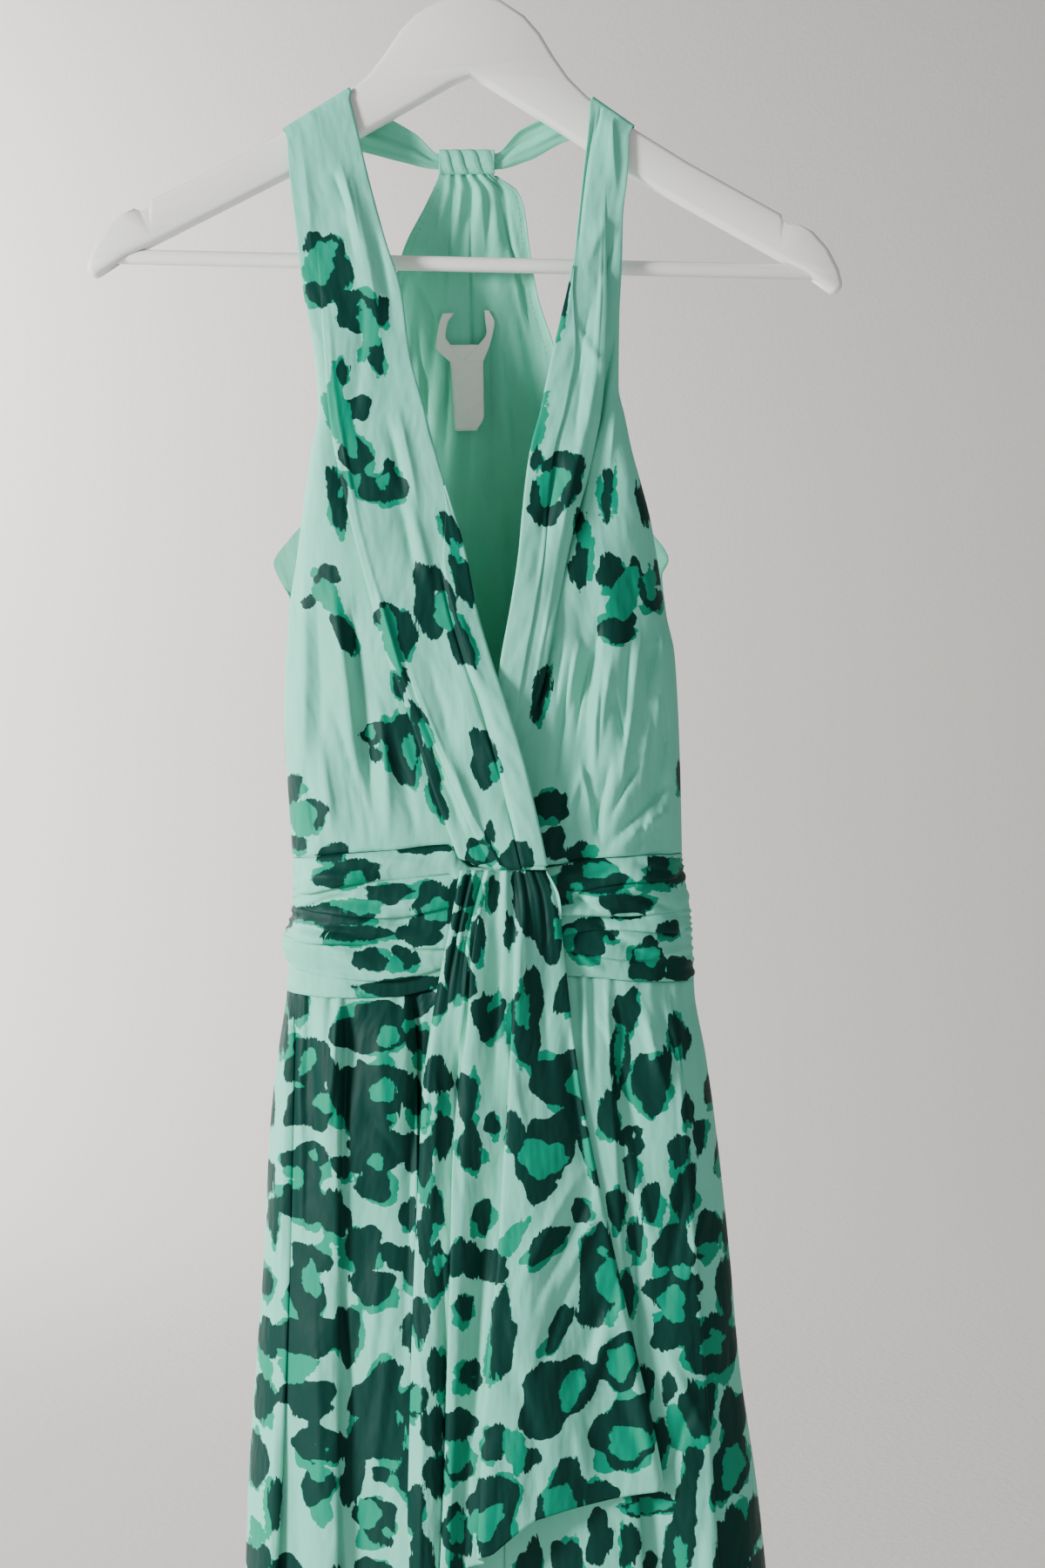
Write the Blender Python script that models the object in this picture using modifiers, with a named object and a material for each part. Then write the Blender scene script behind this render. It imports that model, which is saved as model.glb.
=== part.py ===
"""A halter dress with a wrapped front and a racer back, hung on a flat wooden hanger.

Metres, +Z up. +X is the viewer's right and the front faces -Y. The origin is the inside of the
hanger hook's top, where a rail or a wall hook carries it. Each cloth piece is an open surface,
worked out from a table of sections, with a wall from Solidify.
"""

import math
from collections import namedtuple
from functools import partial

import bmesh
import bpy
import numpy as np

# ---------------------------------------------------------------- driving sizes
WALL = 0.0015  # cloth with its turnings
BAND_WALL = 0.0010  # narrow neck binding and label
SEAM = 0.0003  # between two pieces that are sewn together
FRONT_WAIST_SEAM = 0.0005  # below the under front
BAND_LOW_SEAM = 0.0006  # between the waistband and the skirt's fronts
HEM_Z = -1.170
SKIRT_TOP_Z = -0.630
ARMHOLE_Z = -0.330  # below it the sides round off more widely
ARM_Z = -0.130  # about where the straps cross the hanger's arms

# How far folds and gathers stand out.
OUTER_PLEAT = 0.0036
INNER_PLEAT = 0.0026
LAP_FOLD = 0.0046
LAP_FOLD_WIDTH = 0.0360
OVER_CREASE = 0.0016
LAPEL = 0.0030
UNDER_CREASE = 0.0018
STRAP_GATHER = 0.0007
BACK_GATHER = 0.0012
BAND_FRONT_FOLD = 0.0026
BAND_BACK_FOLD = 0.0018
SKIRT_GATHER = 0.0011
SKIRT_FLUTE = 0.0050
SKIRT_BACK_GATHER = 0.0013
SKIRT_BACK_FLUTE = 0.0075
DRAPE_OFF = 0.0075  # the drape's wall from the body's front
DRAPE_GATHER = 0.0012
DRAPE_FLUTE = 0.0035
BAND_FRONT_FOLDS = 5.0
BAND_BACK_FOLDS = 4.0

# How far from a seam or an edge the cloth takes to round off.
STRAP_ROUND = 0.012
BACK_ROUND = 0.010
WAIST_ROUND = 0.052
SKIRT_ROUND = 0.060

HANGER_THICK = 0.0130
HANGER_TILT = math.radians(1.3)  # the loaded hanger dips to the viewer's right
HANGER_ROUND = 0.0028
SHANK_X = 0.0020  # the hook's shank stands a little beside its ring
DOME_Z = -0.0620
BAR_RADIUS = 0.0043
BAR_SEAT = 0.0300  # each arm is bored for the bar from its slanting underside
BAR_Z = -0.2178
BAR_HALF = 0.2080
HOOK_WIRE = 0.0018
HOOK_RING = 0.0218
HOOK_BORE_DEPTH = 0.0200
NOTCH_RADIUS = 0.0055

LOOP_MID_X = -0.0022
LOOP_HALF_LENGTH = 0.0160
LOOP_Y = 0.0110
LOOP_Z = -0.1563
LOOP_HALF_HEIGHT = 0.0068
LOOP_HALF_DEPTH = 0.0034
LOOP_PLEAT = 0.0005
STRAP_CLEAR = 0.00135  # from the wood to the middle of the cloth's wall
STRAP_BELOW = 0.0010  # from the wood's rounded edge down to where a front starts
NECK_BAND_WIDTH = 0.0125
DRAPE_TOP_Z = -0.5638
CENTRE_SEAM_X = 0.0200
BACK_WAIST = (-0.5585, -0.5555)  # upper edge of the waistband's back, at its left and right end
BACK_BAND_LOW = (-0.6335, -0.6272)
UNDERARM_SHARE = 0.567  # of the back's height, from the loop to its underarm points
LABEL_TOP = -0.2432
LABEL_OFF = 0.0030  # from the middle of the back's wall to the label's

COLLECTION = "halter_dress"

# name: colour, roughness, metallic
FINISHES = {
    "printed_cloth": ((0.36, 0.66, 0.56, 1), 0.45, 0),
    "plain_cloth": ((0.27, 0.62, 0.47, 1), 0.45, 0),
    "white_wood": ((0.72, 0.71, 0.70, 1), 0.40, 0),
    "hook_steel": ((0.70, 0.70, 0.70, 1), 0.25, 1),
    "label_tape": ((0.85, 0.85, 0.83, 1), 0.70, 0),
}


# ---------------------------------------------------------------- tables of sections
def table(columns, *rows):
    """Rows of sizes under named columns. The first column is what the others are read by."""
    ordered = sorted(rows)
    return {name: np.array([row[i] for row in ordered]) for i, name in enumerate(columns.split())}


def at(sizes, column, where):
    """A smooth value of one column, with no overshoot, level past the table's ends."""
    knots, values = next(iter(sizes.values())), sizes[column]
    spans = np.diff(knots)
    rises = np.diff(values) / spans
    product = rises[:-1] * rises[1:]
    total = rises[:-1] + rises[1:]
    inner = np.where(product > 0, 2 * product / np.where(product > 0, total, 1), 0)
    slopes = np.concatenate([rises[:1], inner, rises[-1:]])
    where = np.clip(where, knots[0], knots[-1])
    i = np.clip(np.searchsorted(knots, where, side="right") - 1, 0, len(spans) - 1)
    t, span = (where - knots[i]) / spans[i], spans[i]
    return (
        (2 * t**3 - 3 * t**2 + 1) * values[i]
        + (t**3 - 2 * t**2 + t) * span * slopes[i]
        + (3 * t**2 - 2 * t**3) * values[i + 1]
        + (t**3 - t**2) * span * slopes[i + 1]
    )


# Side seams from the underarm to the hem, and how far the front and the back stand from them.
BODY = table(
    "z left right front back",
    (-0.385, -0.0980, 0.1060, 0.0310, 0.0280),
    (-0.415, -0.1032, 0.1118, 0.0340, 0.0295),
    (-0.445, -0.1052, 0.1170, 0.0360, 0.0305),
    (-0.491, -0.1062, 0.1195, 0.0380, 0.0320),
    (-0.516, -0.1042, 0.1203, 0.0395, 0.0330),
    (-0.558, -0.1010, 0.1212, 0.0410, 0.0340),
    (-0.586, -0.1012, 0.1255, 0.0420, 0.0345),
    (-0.609, -0.1075, 0.1270, 0.0425, 0.0345),
    (-0.621, -0.1036, 0.1277, 0.0428, 0.0350),
    (-0.634, -0.1045, 0.1282, 0.0430, 0.0350),
    (-0.670, -0.1097, 0.1345, 0.0450, 0.0365),
    (-0.713, -0.1142, 0.1405, 0.0470, 0.0380),
    (-0.785, -0.1177, 0.1483, 0.0490, 0.0405),
    (-0.846, -0.1220, 0.1537, 0.0520, 0.0430),
    (-0.916, -0.1265, 0.1637, 0.0560, 0.0460),
    (-0.965, -0.1280, 0.1690, 0.0580, 0.0490),
    (-1.170, -0.1340, 0.1880, 0.0680, 0.0580),
)
# The left front, which laps over: its neckline, two pleat edges, its outer edge and its depths.
FRONT_OVER = table(
    "z edge inner outer side side_y depth",
    (-0.119, -0.0700, -0.0860, -0.0950, -0.1060, 0.0080, 0.0080),
    (-0.143, -0.0640, -0.0850, -0.0945, -0.1045, 0.0088, 0.0088),
    (-0.165, -0.0590, -0.0830, -0.0925, -0.1029, 0.0095, 0.0100),
    (-0.206, -0.0480, -0.0790, -0.0885, -0.0982, 0.0110, 0.0125),
    (-0.236, -0.0387, -0.0770, -0.0855, -0.0945, 0.0120, 0.0150),
    (-0.273, -0.0336, -0.0740, -0.0815, -0.0880, 0.0130, 0.0190),
    (-0.302, -0.0260, -0.0705, -0.0780, -0.0858, 0.0130, 0.0230),
    (-0.327, -0.0195, -0.0665, -0.0735, -0.0898, 0.0120, 0.0260),
    (-0.359, -0.0102, -0.0605, -0.0675, -0.0947, 0.0090, 0.0290),
    (-0.386, -0.0030, -0.0540, -0.0610, -0.0985, 0.0040, 0.0310),
    (-0.415, 0.0025, -0.0455, -0.0523, -0.1032, 0.0003, 0.0340),
    (-0.445, 0.0110, -0.0360, -0.0435, -0.1052, 0.0000, 0.0360),
    (-0.472, 0.0200, -0.0262, -0.0345, -0.1060, 0.0000, 0.0375),
    (-0.509, 0.0310, -0.0105, -0.0232, -0.1046, 0.0000, 0.0390),
    (-0.541, 0.0385, 0.0050, -0.0115, -0.1025, 0.0000, 0.0405),
    (-0.5635, 0.0432, 0.0175, -0.0040, -0.1010, 0.0000, 0.0410),
)
# The right front, which runs on under the other one. Its fold is the edge of the turned lapel.
FRONT_UNDER = table(
    "z edge fold side side_y depth",
    (-0.119, 0.0690, 0.0810, 0.0930, 0.0080, 0.0080),
    (-0.143, 0.0675, 0.0800, 0.0906, 0.0088, 0.0088),
    (-0.165, 0.0650, 0.0790, 0.0900, 0.0095, 0.0100),
    (-0.193, 0.0620, 0.0775, 0.0870, 0.0105, 0.0115),
    (-0.218, 0.0590, 0.0770, 0.0864, 0.0115, 0.0135),
    (-0.252, 0.0525, 0.0765, 0.0848, 0.0125, 0.0170),
    (-0.290, 0.0445, 0.0755, 0.0844, 0.0130, 0.0220),
    (-0.307, 0.0410, 0.0740, 0.0879, 0.0130, 0.0235),
    (-0.326, 0.0360, 0.0706, 0.0919, 0.0120, 0.0260),
    (-0.344, 0.0332, 0.0665, 0.0969, 0.0105, 0.0275),
    (-0.365, 0.0310, 0.0600, 0.1026, 0.0080, 0.0295),
    (-0.386, 0.0291, 0.0545, 0.1065, 0.0040, 0.0310),
    (-0.418, 0.0243, 0.0480, 0.1118, 0.0003, 0.0340),
    (-0.441, 0.0200, 0.0435, 0.1168, 0.0000, 0.0360),
    (-0.462, 0.0164, 0.0400, 0.1183, 0.0000, 0.0370),
    (-0.483, 0.0125, 0.0350, 0.1193, 0.0000, 0.0380),
    (-0.515, 0.0068, 0.0280, 0.1203, 0.0000, 0.0395),
    (-0.562, 0.0060, 0.0200, 0.1213, 0.0000, 0.0410),
)
# The racer back: its two edges down to the underarm points, then the side seams.
BACK = table(
    "z left right side_y depth",
    (-0.164, -0.0182, 0.0150, 0.0110, 0.0110),
    (-0.172, -0.0215, 0.0265, 0.0112, 0.0118),
    (-0.181, -0.0258, 0.0305, 0.0115, 0.0125),
    (-0.206, -0.0370, 0.0340, 0.0125, 0.0145),
    (-0.232, -0.0436, 0.0385, 0.0135, 0.0165),
    (-0.262, -0.0512, 0.0480, 0.0145, 0.0190),
    (-0.303, -0.0639, 0.0590, 0.0150, 0.0225),
    (-0.336, -0.0791, 0.0735, 0.0140, 0.0250),
    (-0.359, -0.0944, 0.0920, 0.0115, 0.0265),
    (-0.373, -0.1070, 0.1061, 0.0090, 0.0272),
    (-0.387, -0.1160, 0.1140, 0.0060, 0.0280),
    (-0.396, -0.1125, 0.1100, 0.0030, 0.0285),
    (-0.415, -0.1032, 0.1118, 0.0003, 0.0295),
    (-0.445, -0.1052, 0.1170, 0.0000, 0.0305),
    (-0.491, -0.1062, 0.1195, 0.0000, 0.0320),
    (-0.516, -0.1042, 0.1203, 0.0000, 0.0330),
    (-0.558, -0.1010, 0.1212, 0.0000, 0.0340),
)
# Upper and lower edge of the waistband, across the front.
BAND = table(
    "x top low",
    (-0.102, -0.5584, -0.6335),
    (-0.072, -0.5554, -0.6353),
    (-0.040, -0.5530, -0.6345),
    (-0.020, -0.5508, -0.6305),
    (-0.011, -0.5500, -0.6280),
    (-0.004, -0.5585, -0.6262),
    (0.002, -0.5625, -0.6250),
    (0.020, -0.5630, -0.6235),
    (0.040, -0.5630, -0.6228),
    (0.049, -0.5619, -0.6228),
    (0.065, -0.5584, -0.6235),
    (0.085, -0.5569, -0.6255),
    (0.121, -0.5554, -0.6272),
)
# Where the over front ends: on the waistband, then lower, on the drape's gathered top.
OVER_LOW = table(
    "x low",
    (-0.102, -0.5579),
    (-0.072, -0.5549),
    (-0.040, -0.5525),
    (-0.020, -0.5500),
    (-0.011, -0.5488),
    (-0.004, -0.5510),
    (0.003, -0.5595),
    (0.018, -0.5630),
    (0.044, -0.5634),
)
# The drape that falls from the wrap: its two sides, two fold edges and its hem's height there.
DRAPE = table(
    "z left fold_1 fold_2 right",
    (-0.564, -0.0045, 0.0101, 0.0242, 0.0436),
    (-0.578, -0.0070, 0.0060, 0.0252, 0.0504),
    (-0.596, -0.0103, 0.0015, 0.0261, 0.0533),
    (-0.619, -0.0150, -0.0009, 0.0255, 0.0562),
    (-0.649, -0.0204, -0.0025, 0.0243, 0.0598),
    (-0.686, -0.0252, -0.0073, 0.0228, 0.0652),
    (-0.736, -0.0275, -0.0098, 0.0184, 0.0755),
    (-0.777, -0.0294, -0.0101, 0.0150, 0.0848),
    (-0.827, -0.0310, -0.0105, 0.0082, 0.0961),
    (-0.903, -0.0326, -0.0120, 0.0020, 0.1117),
    (-1.030, -0.0345, -0.0170, -0.0030, 0.1200),
)
DRAPE_HEM = table(
    "u z",
    (0.00, -1.030),
    (0.22, -1.000),
    (0.40, -0.966),
    (0.56, -0.938),
    (0.68, -0.917),
    (0.84, -0.909),
    (1.00, -0.903),
)
# Pleat edges of the skirt's fronts, from the side inwards: x at the band and at the hem.
Pleat = namedtuple("Pleat", "band_x hem_x height")
SKIRT_LEFT_PLEATS = (
    Pleat(-0.0986, -0.1120, 0.0030),
    Pleat(-0.0685, -0.0760, 0.0035),
    Pleat(-0.0350, -0.0200, 0.0030),
)
SKIRT_RIGHT_PLEATS = (Pleat(0.1150, 0.1560, 0.0030), Pleat(0.0800, 0.1080, 0.0035))
# The neck strap behind the hanger, from the loop (w = 0) to the arm's top (w = 1).
STRAP_OVER = table(
    "w in_x in_y in_z out_x out_y out_z",
    (0.00, -0.0025, 0.0110, -0.1514, -0.0025, 0.0110, -0.1607),
    (0.30, -0.0185, 0.0110, -0.1514, -0.0185, 0.0110, -0.1607),
    (0.55, -0.0320, 0.0110, -0.1405, -0.0400, 0.0110, -0.1560),
    (0.80, -0.0520, 0.0098, -0.1290, -0.0700, 0.0098, -0.1490),
)
STRAP_UNDER = table(
    "w in_x in_y in_z out_x out_y out_z",
    (0.00, -0.0019, 0.0110, -0.1514, -0.0019, 0.0110, -0.1607),
    (0.30, 0.0142, 0.0110, -0.1514, 0.0142, 0.0110, -0.1607),
    (0.55, 0.0290, 0.0110, -0.1380, 0.0330, 0.0110, -0.1555),
    (0.80, 0.0480, 0.0098, -0.1300, 0.0620, 0.0098, -0.1430),
)
# Half of the hanger's outline, from the top of the dome to the arm's tip and back under it.
HANGER_TOP = table(
    "x z",
    (0.000, -0.0620),
    (0.017, -0.0668),
    (0.031, -0.0756),
    (0.040, -0.0854),
    (0.048, -0.0981),
    (0.057, -0.1105),
    (0.068, -0.1210),
    (0.092, -0.1370),
    (0.127, -0.1576),
    (0.180, -0.1855),
    (0.199, -0.1953),
    (0.208, -0.2050),
    (0.214, -0.2160),
    (0.217, -0.2265),
)
HANGER_LOW = (
    (0.2120, -0.2310),
    (0.1949, -0.2190),
    (0.1783, -0.2103),
    (0.0900, -0.1630),
    (0.0107, -0.1154),
)
HANGER_APEX_Z = -0.1100
# A blank tape sewn on by two short arms, which run down into one tail: x and z.
LABEL_OUTLINE = (
    (-0.0164, LABEL_TOP),
    (-0.0096, LABEL_TOP),
    (-0.0134, -0.2485),
    (-0.0147, -0.2566),
    (-0.0110, -0.2622),
    (0.0041, -0.2625),
    (0.0092, -0.2541),
    (0.0080, -0.2440),
    (0.0104, -0.2415),
    (0.0137, -0.2484),
    (0.0109, -0.2617),
    (0.0072, -0.2713),
    (0.0076, -0.3028),
    (0.0034, -0.3112),
    (-0.0091, -0.3120),
    (-0.0119, -0.2716),
    (-0.0204, -0.2625),
)
NOTCH_AT = (0.186, -0.1870)


# ---------------------------------------------------------------- small helpers
def ramp(value):
    """0 below 0, 1 above 1 and a soft slope between."""
    value = np.clip(value, 0, 1)
    return value * value * (3 - 2 * value)


def rounded(distance, width, side_y, depth, power=2.4):
    """Depth at a distance from the side seam: it starts straight out and levels off at the width."""
    left_to_go = np.clip(1 - distance / width, 0, 1)
    return side_y + (depth - side_y) * (1 - left_to_go**power) ** (1 / power)


def across(u, knots, lines):
    """x on the way from the first line (u = 0) to the last (u = 1)."""
    total = 0
    for i, line in enumerate(lines):
        total = total + np.interp(u, knots, np.eye(len(knots))[i]) * line
    return total


def pleats(u, edges, spread):
    """Each pleat rises at its edge and runs out before the next. An edge is (u, height, next u)."""
    total = 0
    for start, height, following in edges:
        run = np.clip((u - start - spread) / (following - start - spread), 0, 1)
        total = total + height * ramp((u - start) / spread) * (1 - ramp(run))
    return total


def hang_tilted(x, z):
    """A point of the upright hanger, where its tilt about the hook's top puts it."""
    cos, sin = math.cos(HANGER_TILT), math.sin(HANGER_TILT)
    x = x + SHANK_X
    return x * cos + z * sin, z * cos - x * sin


def arm_top(x):
    """Height of the tilted wood's upper edge at x."""
    half = list(zip(HANGER_TOP["x"], HANGER_TOP["z"]))
    xs, zs = zip(*sorted(hang_tilted(sign * out, up) for sign in (-1, 1) for out, up in half))
    return np.interp(x, xs, zs)


def spaced(*stretches):
    """Column positions: each stretch is (end, count), and the first starts at 0."""
    columns, start = [0.0], 0.0
    for end, count in stretches:
        columns += [start + (end - start) * (i + 1) / count for i in range(count)]
        start = end
    return np.array(columns)


def all_round(count):
    """Columns of a back piece: close together near both side seams, with a count between."""
    middle = ((0.01, 1), (0.03, 1), (0.06, 1), (0.11, 1), (0.89, count))
    return spaced(*middle, (0.94, 1), (0.97, 1), (0.99, 1), (1, 1))


def between(ends, share):
    """A value part of the way from the first end to the second."""
    return ends[0] + (ends[1] - ends[0]) * share


# ---------------------------------------------------------------- surfaces of the cloth
# Each takes arrays u (across) and v (down) from 0 to 1 and gives x, y, z.
SIDE_SHARES = (0.50, 0.20, 0.06, 0.01, 0)  # of the way in from a side seam, where the wall turns
SIDE_REACH = 0.040
ALL_ROUND_KNOTS = (0, 0.01, 0.03, 0.06, 0.11, 0.89, 0.94, 0.97, 0.99, 1)
ALL_ROUND_SHARES = (0, 0.003, 0.018, 0.06, 0.14, 0.86, 0.94, 0.982, 0.997, 1)
HALF_KNOTS = (0, 0.03, 0.09, 0.18, 0.30, 1)
HALF_SHARES = (0, 0.005, 0.03, 0.10, 0.22, 1)
OVER_KNOTS = (0, 0.11, 0.38, 0.50, 0.62, 0.80, 0.88, 0.94, 0.98, 1)
OVER_PLEAT_SPREAD = 0.035


def front_over_surface(u, v):
    """The over front from the arm's top to the waist, from its neckline (0) to its side (1)."""
    top = strap_foot(front_over_x(u, ARM_Z))
    z = top
    for _ in range(3):
        x = front_over_x(u, z)
        z = top + (at(OVER_LOW, "low", x) - top) * v
    x = front_over_x(u, z)
    side, side_y, depth = (at(FRONT_OVER, name, z) for name in ("side", "side_y", "depth"))
    depth = rounded(x - side, front_round(z), side_y, depth)
    outer = OUTER_PLEAT * ramp((-0.20 - z) / 0.12)
    inner = INNER_PLEAT * ramp((-0.44 - z) / 0.05)
    depth = depth + outer * ramp((0.62 - u) / OVER_PLEAT_SPREAD)
    depth = depth + inner * ramp((0.50 - u) / OVER_PLEAT_SPREAD)
    lap = ramp(1 - (at(FRONT_OVER, "edge", z) - x) / LAP_FOLD_WIDTH)
    depth = depth + LAP_FOLD * lap * ramp((-0.42 - z) / 0.05)
    creases = np.sin(2 * math.pi * (u - 0.62) / 0.19) * ramp((u - 0.64) / 0.1)
    depth = depth + OVER_CREASE * creases * ramp((0.97 - u) / 0.1) * ramp((-0.38 - z) / 0.1)
    return x, -depth - SEAM / 2, z


def front_round(z):
    """How far in from a front's outer edge it rounds off at that height."""
    return STRAP_ROUND + (WAIST_ROUND - STRAP_ROUND) * ramp((ARMHOLE_Z - z) / 0.09)


def front_over_x(u, z):
    edge, side = at(FRONT_OVER, "edge", z), at(FRONT_OVER, "side", z)
    inner, outer = at(FRONT_OVER, "inner", z), at(FRONT_OVER, "outer", z)
    band = edge - NECK_BAND_WIDTH - 0.001
    reach = np.minimum(outer - side, SIDE_REACH)
    near = [side + reach * share for share in SIDE_SHARES]
    return across(u, OVER_KNOTS, (edge, band, inner + 0.004, inner - 0.001, outer, *near))


def strap_foot(x):
    """Where a front leaves the arm's rounded top, just below it."""
    return arm_top(x) - HANGER_ROUND - STRAP_BELOW


UNDER_KNOTS = (0, 0.16, 0.42, 0.78, 0.87, 0.94, 0.98, 1)


def front_under_x(u, z):
    edge, fold, side = (at(FRONT_UNDER, name, z) for name in ("edge", "fold", "side"))
    reach = np.minimum(side - fold, SIDE_REACH)
    near = [side - reach * share for share in SIDE_SHARES]
    band = edge + np.minimum(NECK_BAND_WIDTH + 0.001, 0.6 * (fold - edge))
    return across(u, UNDER_KNOTS, (edge, band, fold, *near))


def front_under_surface(u, v):
    """The under front from the arm's top to the waist, from its neckline (0) to its side (1)."""
    top = strap_foot(front_under_x(u, ARM_Z))
    z = top
    for _ in range(3):
        x = front_under_x(u, z)
        tucked = 0.0010 * ramp((0.055 - x) / 0.01)  # higher where the over front covers it
        low = at(BAND, "top", x) + FRONT_WAIST_SEAM + tucked
        z = top + (low - top) * v
    x = front_under_x(u, z)
    side, side_y, depth = (at(FRONT_UNDER, name, z) for name in ("side", "side_y", "depth"))
    depth = rounded(side - x, front_round(z), side_y, depth)
    lapel = LAPEL * ramp((-0.20 - z) / 0.10) * ramp((z + 0.49) / 0.03)
    depth = depth + lapel * ramp((0.42 - u) / 0.05)
    creases = np.sin(2 * math.pi * (u - 0.42) / 0.21) * ramp((u - 0.43) / 0.1)
    depth = depth + UNDER_CREASE * creases * ramp((0.97 - u) / 0.1) * ramp((-0.36 - z) / 0.1)
    return x, -depth - SEAM / 2, z


def strap_surface(stations, front_x, u, w):
    """The strap from the loop (w = 0) up behind the hanger (w = 1) and over its arm (w = 2).

    It leaves the front with the front's own width, and clears the wood's rounded top all the way.
    """
    span = [front_x(np.array(float(side)), ARM_Z) for side in (0, 1)]
    u = (front_x(u, ARM_Z) - span[0]) / (span[1] - span[0])
    ends = [np.array([x, arm_top(x) - HANGER_ROUND]) for x in span]
    along = (ends[1] - ends[0]) / np.linalg.norm(ends[1] - ends[0])
    normal = np.array([-along[1], along[0]]) * np.sign(along[0])
    line = ends[0][:, None] + (ends[1] - ends[0])[:, None] * u
    reach_y = HANGER_THICK / 2 + STRAP_CLEAR
    reach_n = HANGER_ROUND + STRAP_CLEAR
    turn = np.clip(w - 1, 0, 1) * math.pi
    rise = reach_n * np.abs(np.sin(turn)) ** (2 / 3)
    crest_y = reach_y * np.sign(np.cos(turn)) * np.abs(np.cos(turn)) ** (2 / 3)
    crest_x, crest_z = line[0] + normal[0] * rise, line[1] + normal[1] * rise
    arm = (1, ends[0][0], reach_y, ends[0][1], ends[1][0], reach_y, ends[1][1])
    whole = {name: np.append(stations[name], last) for name, last in zip(stations, arm)}
    part = np.clip(w, 0, 1)
    behind = [between([at(whole, side + axis, part) for side in ("in_", "out_")], u) for axis in "xyz"]
    gathers = STRAP_GATHER * np.sin(2 * math.pi * 2.5 * u)
    gathers = gathers * ramp((part - 0.28) / 0.2) * ramp((0.98 - part) / 0.2)
    over = w > 1
    x = np.where(over, crest_x, behind[0])
    y = np.where(over, crest_y, behind[1] + gathers)
    z = np.where(over, crest_z, behind[2])
    return x, y, z


def back_surface(u, v):
    """The racer back from the loop (0) to the waist (1), from the left edge to the right."""
    top = LOOP_Z - LOOP_HALF_HEIGHT - WALL / 2 - SEAM
    z = top + (between(BACK_WAIST, u) + SEAM - top) * v
    left, right = at(BACK, "left", z), at(BACK, "right", z)
    x = left + (right - left) * np.interp(u, ALL_ROUND_KNOTS, ALL_ROUND_SHARES)
    distance = np.minimum(x - left, right - x)
    round_width = BACK_ROUND + (WAIST_ROUND - BACK_ROUND) * ramp((ARMHOLE_Z - z) / 0.09)
    y = rounded(distance, round_width, at(BACK, "side_y", z), at(BACK, "depth", z))
    gather = BACK_GATHER * (1 + 0.67 * ramp((-0.2 - z) / 0.1) - 1.17 * ramp((-0.42 - z) / 0.12))
    sway = 0.35 * np.sin(36 * z)
    y = y + gather * np.sin(2 * math.pi * 7 * u + sway) * ramp(distance / 0.008)
    return x, y + SEAM / 2, z


def band_front_surface(u, v, left_side):
    """A front half of the ruched waistband from its side (0) to the centre seam (1)."""
    side = "left" if left_side else "right"
    middle = CENTRE_SEAM_X + (-SEAM / 2 if left_side else SEAM / 2)
    turned = np.interp(u, HALF_KNOTS, HALF_SHARES)
    x = between((at(BODY, side, BACK_WAIST[0]), middle), turned)
    z = between((at(BAND, "top", x), at(BAND, "low", x)), v)
    side_x = at(BODY, side, z)
    x = between((side_x, middle), turned)
    depth = rounded(np.abs(x - side_x), WAIST_ROUND, 0, at(BODY, "front", z))
    slant = 0.10 * (u - 0.4) - 0.05 if left_side else -0.14 * (u - 0.3)
    ridges = np.abs(np.sin(math.pi * BAND_FRONT_FOLDS * (v + slant))) ** 0.8
    depth = depth + BAND_FRONT_FOLD * ridges * ramp(turned / 0.10) * band_fade(v)
    return x, -depth - SEAM / 2, z


def band_fade(v):
    """The waistband's folds flatten near its two seams."""
    return ramp((v - 0.03) / 0.10) * ramp((0.97 - v) / 0.10)


def band_back_surface(u, v):
    """The waistband's back, plainer, from the left side (0) to the right (1)."""
    z = between((between(BACK_WAIST, u), between(BACK_BAND_LOW, u)), v)
    left, right = at(BODY, "left", z), at(BODY, "right", z)
    x = left + (right - left) * np.interp(u, ALL_ROUND_KNOTS, ALL_ROUND_SHARES)
    depth = rounded(np.minimum(x - left, right - x), WAIST_ROUND, 0, at(BODY, "back", z))
    ridges = np.abs(np.sin(math.pi * (BAND_BACK_FOLDS * v + 0.2 * u)))
    depth = depth + BAND_BACK_FOLD * ridges * np.sin(math.pi * u) ** 0.5 * band_fade(v)
    return x, depth + SEAM / 2, z


LEFT_KNOTS = (0, 0.02, 0.08, 0.16, 0.42, 0.72, 1)
RIGHT_KNOTS = (0, 0.02, 0.06, 0.14, 0.44, 1)


def skirt_front_x(u, z, left_side):
    """x along a side front: its side seam, its pleat edges and its centre seam are the knots."""
    side = at(BODY, "left" if left_side else "right", z)
    fall = (z - SKIRT_TOP_Z) / (HEM_Z - SKIRT_TOP_Z)
    edges = SKIRT_LEFT_PLEATS if left_side else SKIRT_RIGHT_PLEATS
    lines = [between((edge.band_x, edge.hem_x), fall) for edge in edges]
    middle = CENTRE_SEAM_X + (-SEAM / 2 if left_side else SEAM / 2)
    step = lines[0] - side
    knots = LEFT_KNOTS if left_side else RIGHT_KNOTS
    return across(u, knots, [side, side + 0.04 * step, side + 0.4 * step, *lines, middle + 0 * z])


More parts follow.
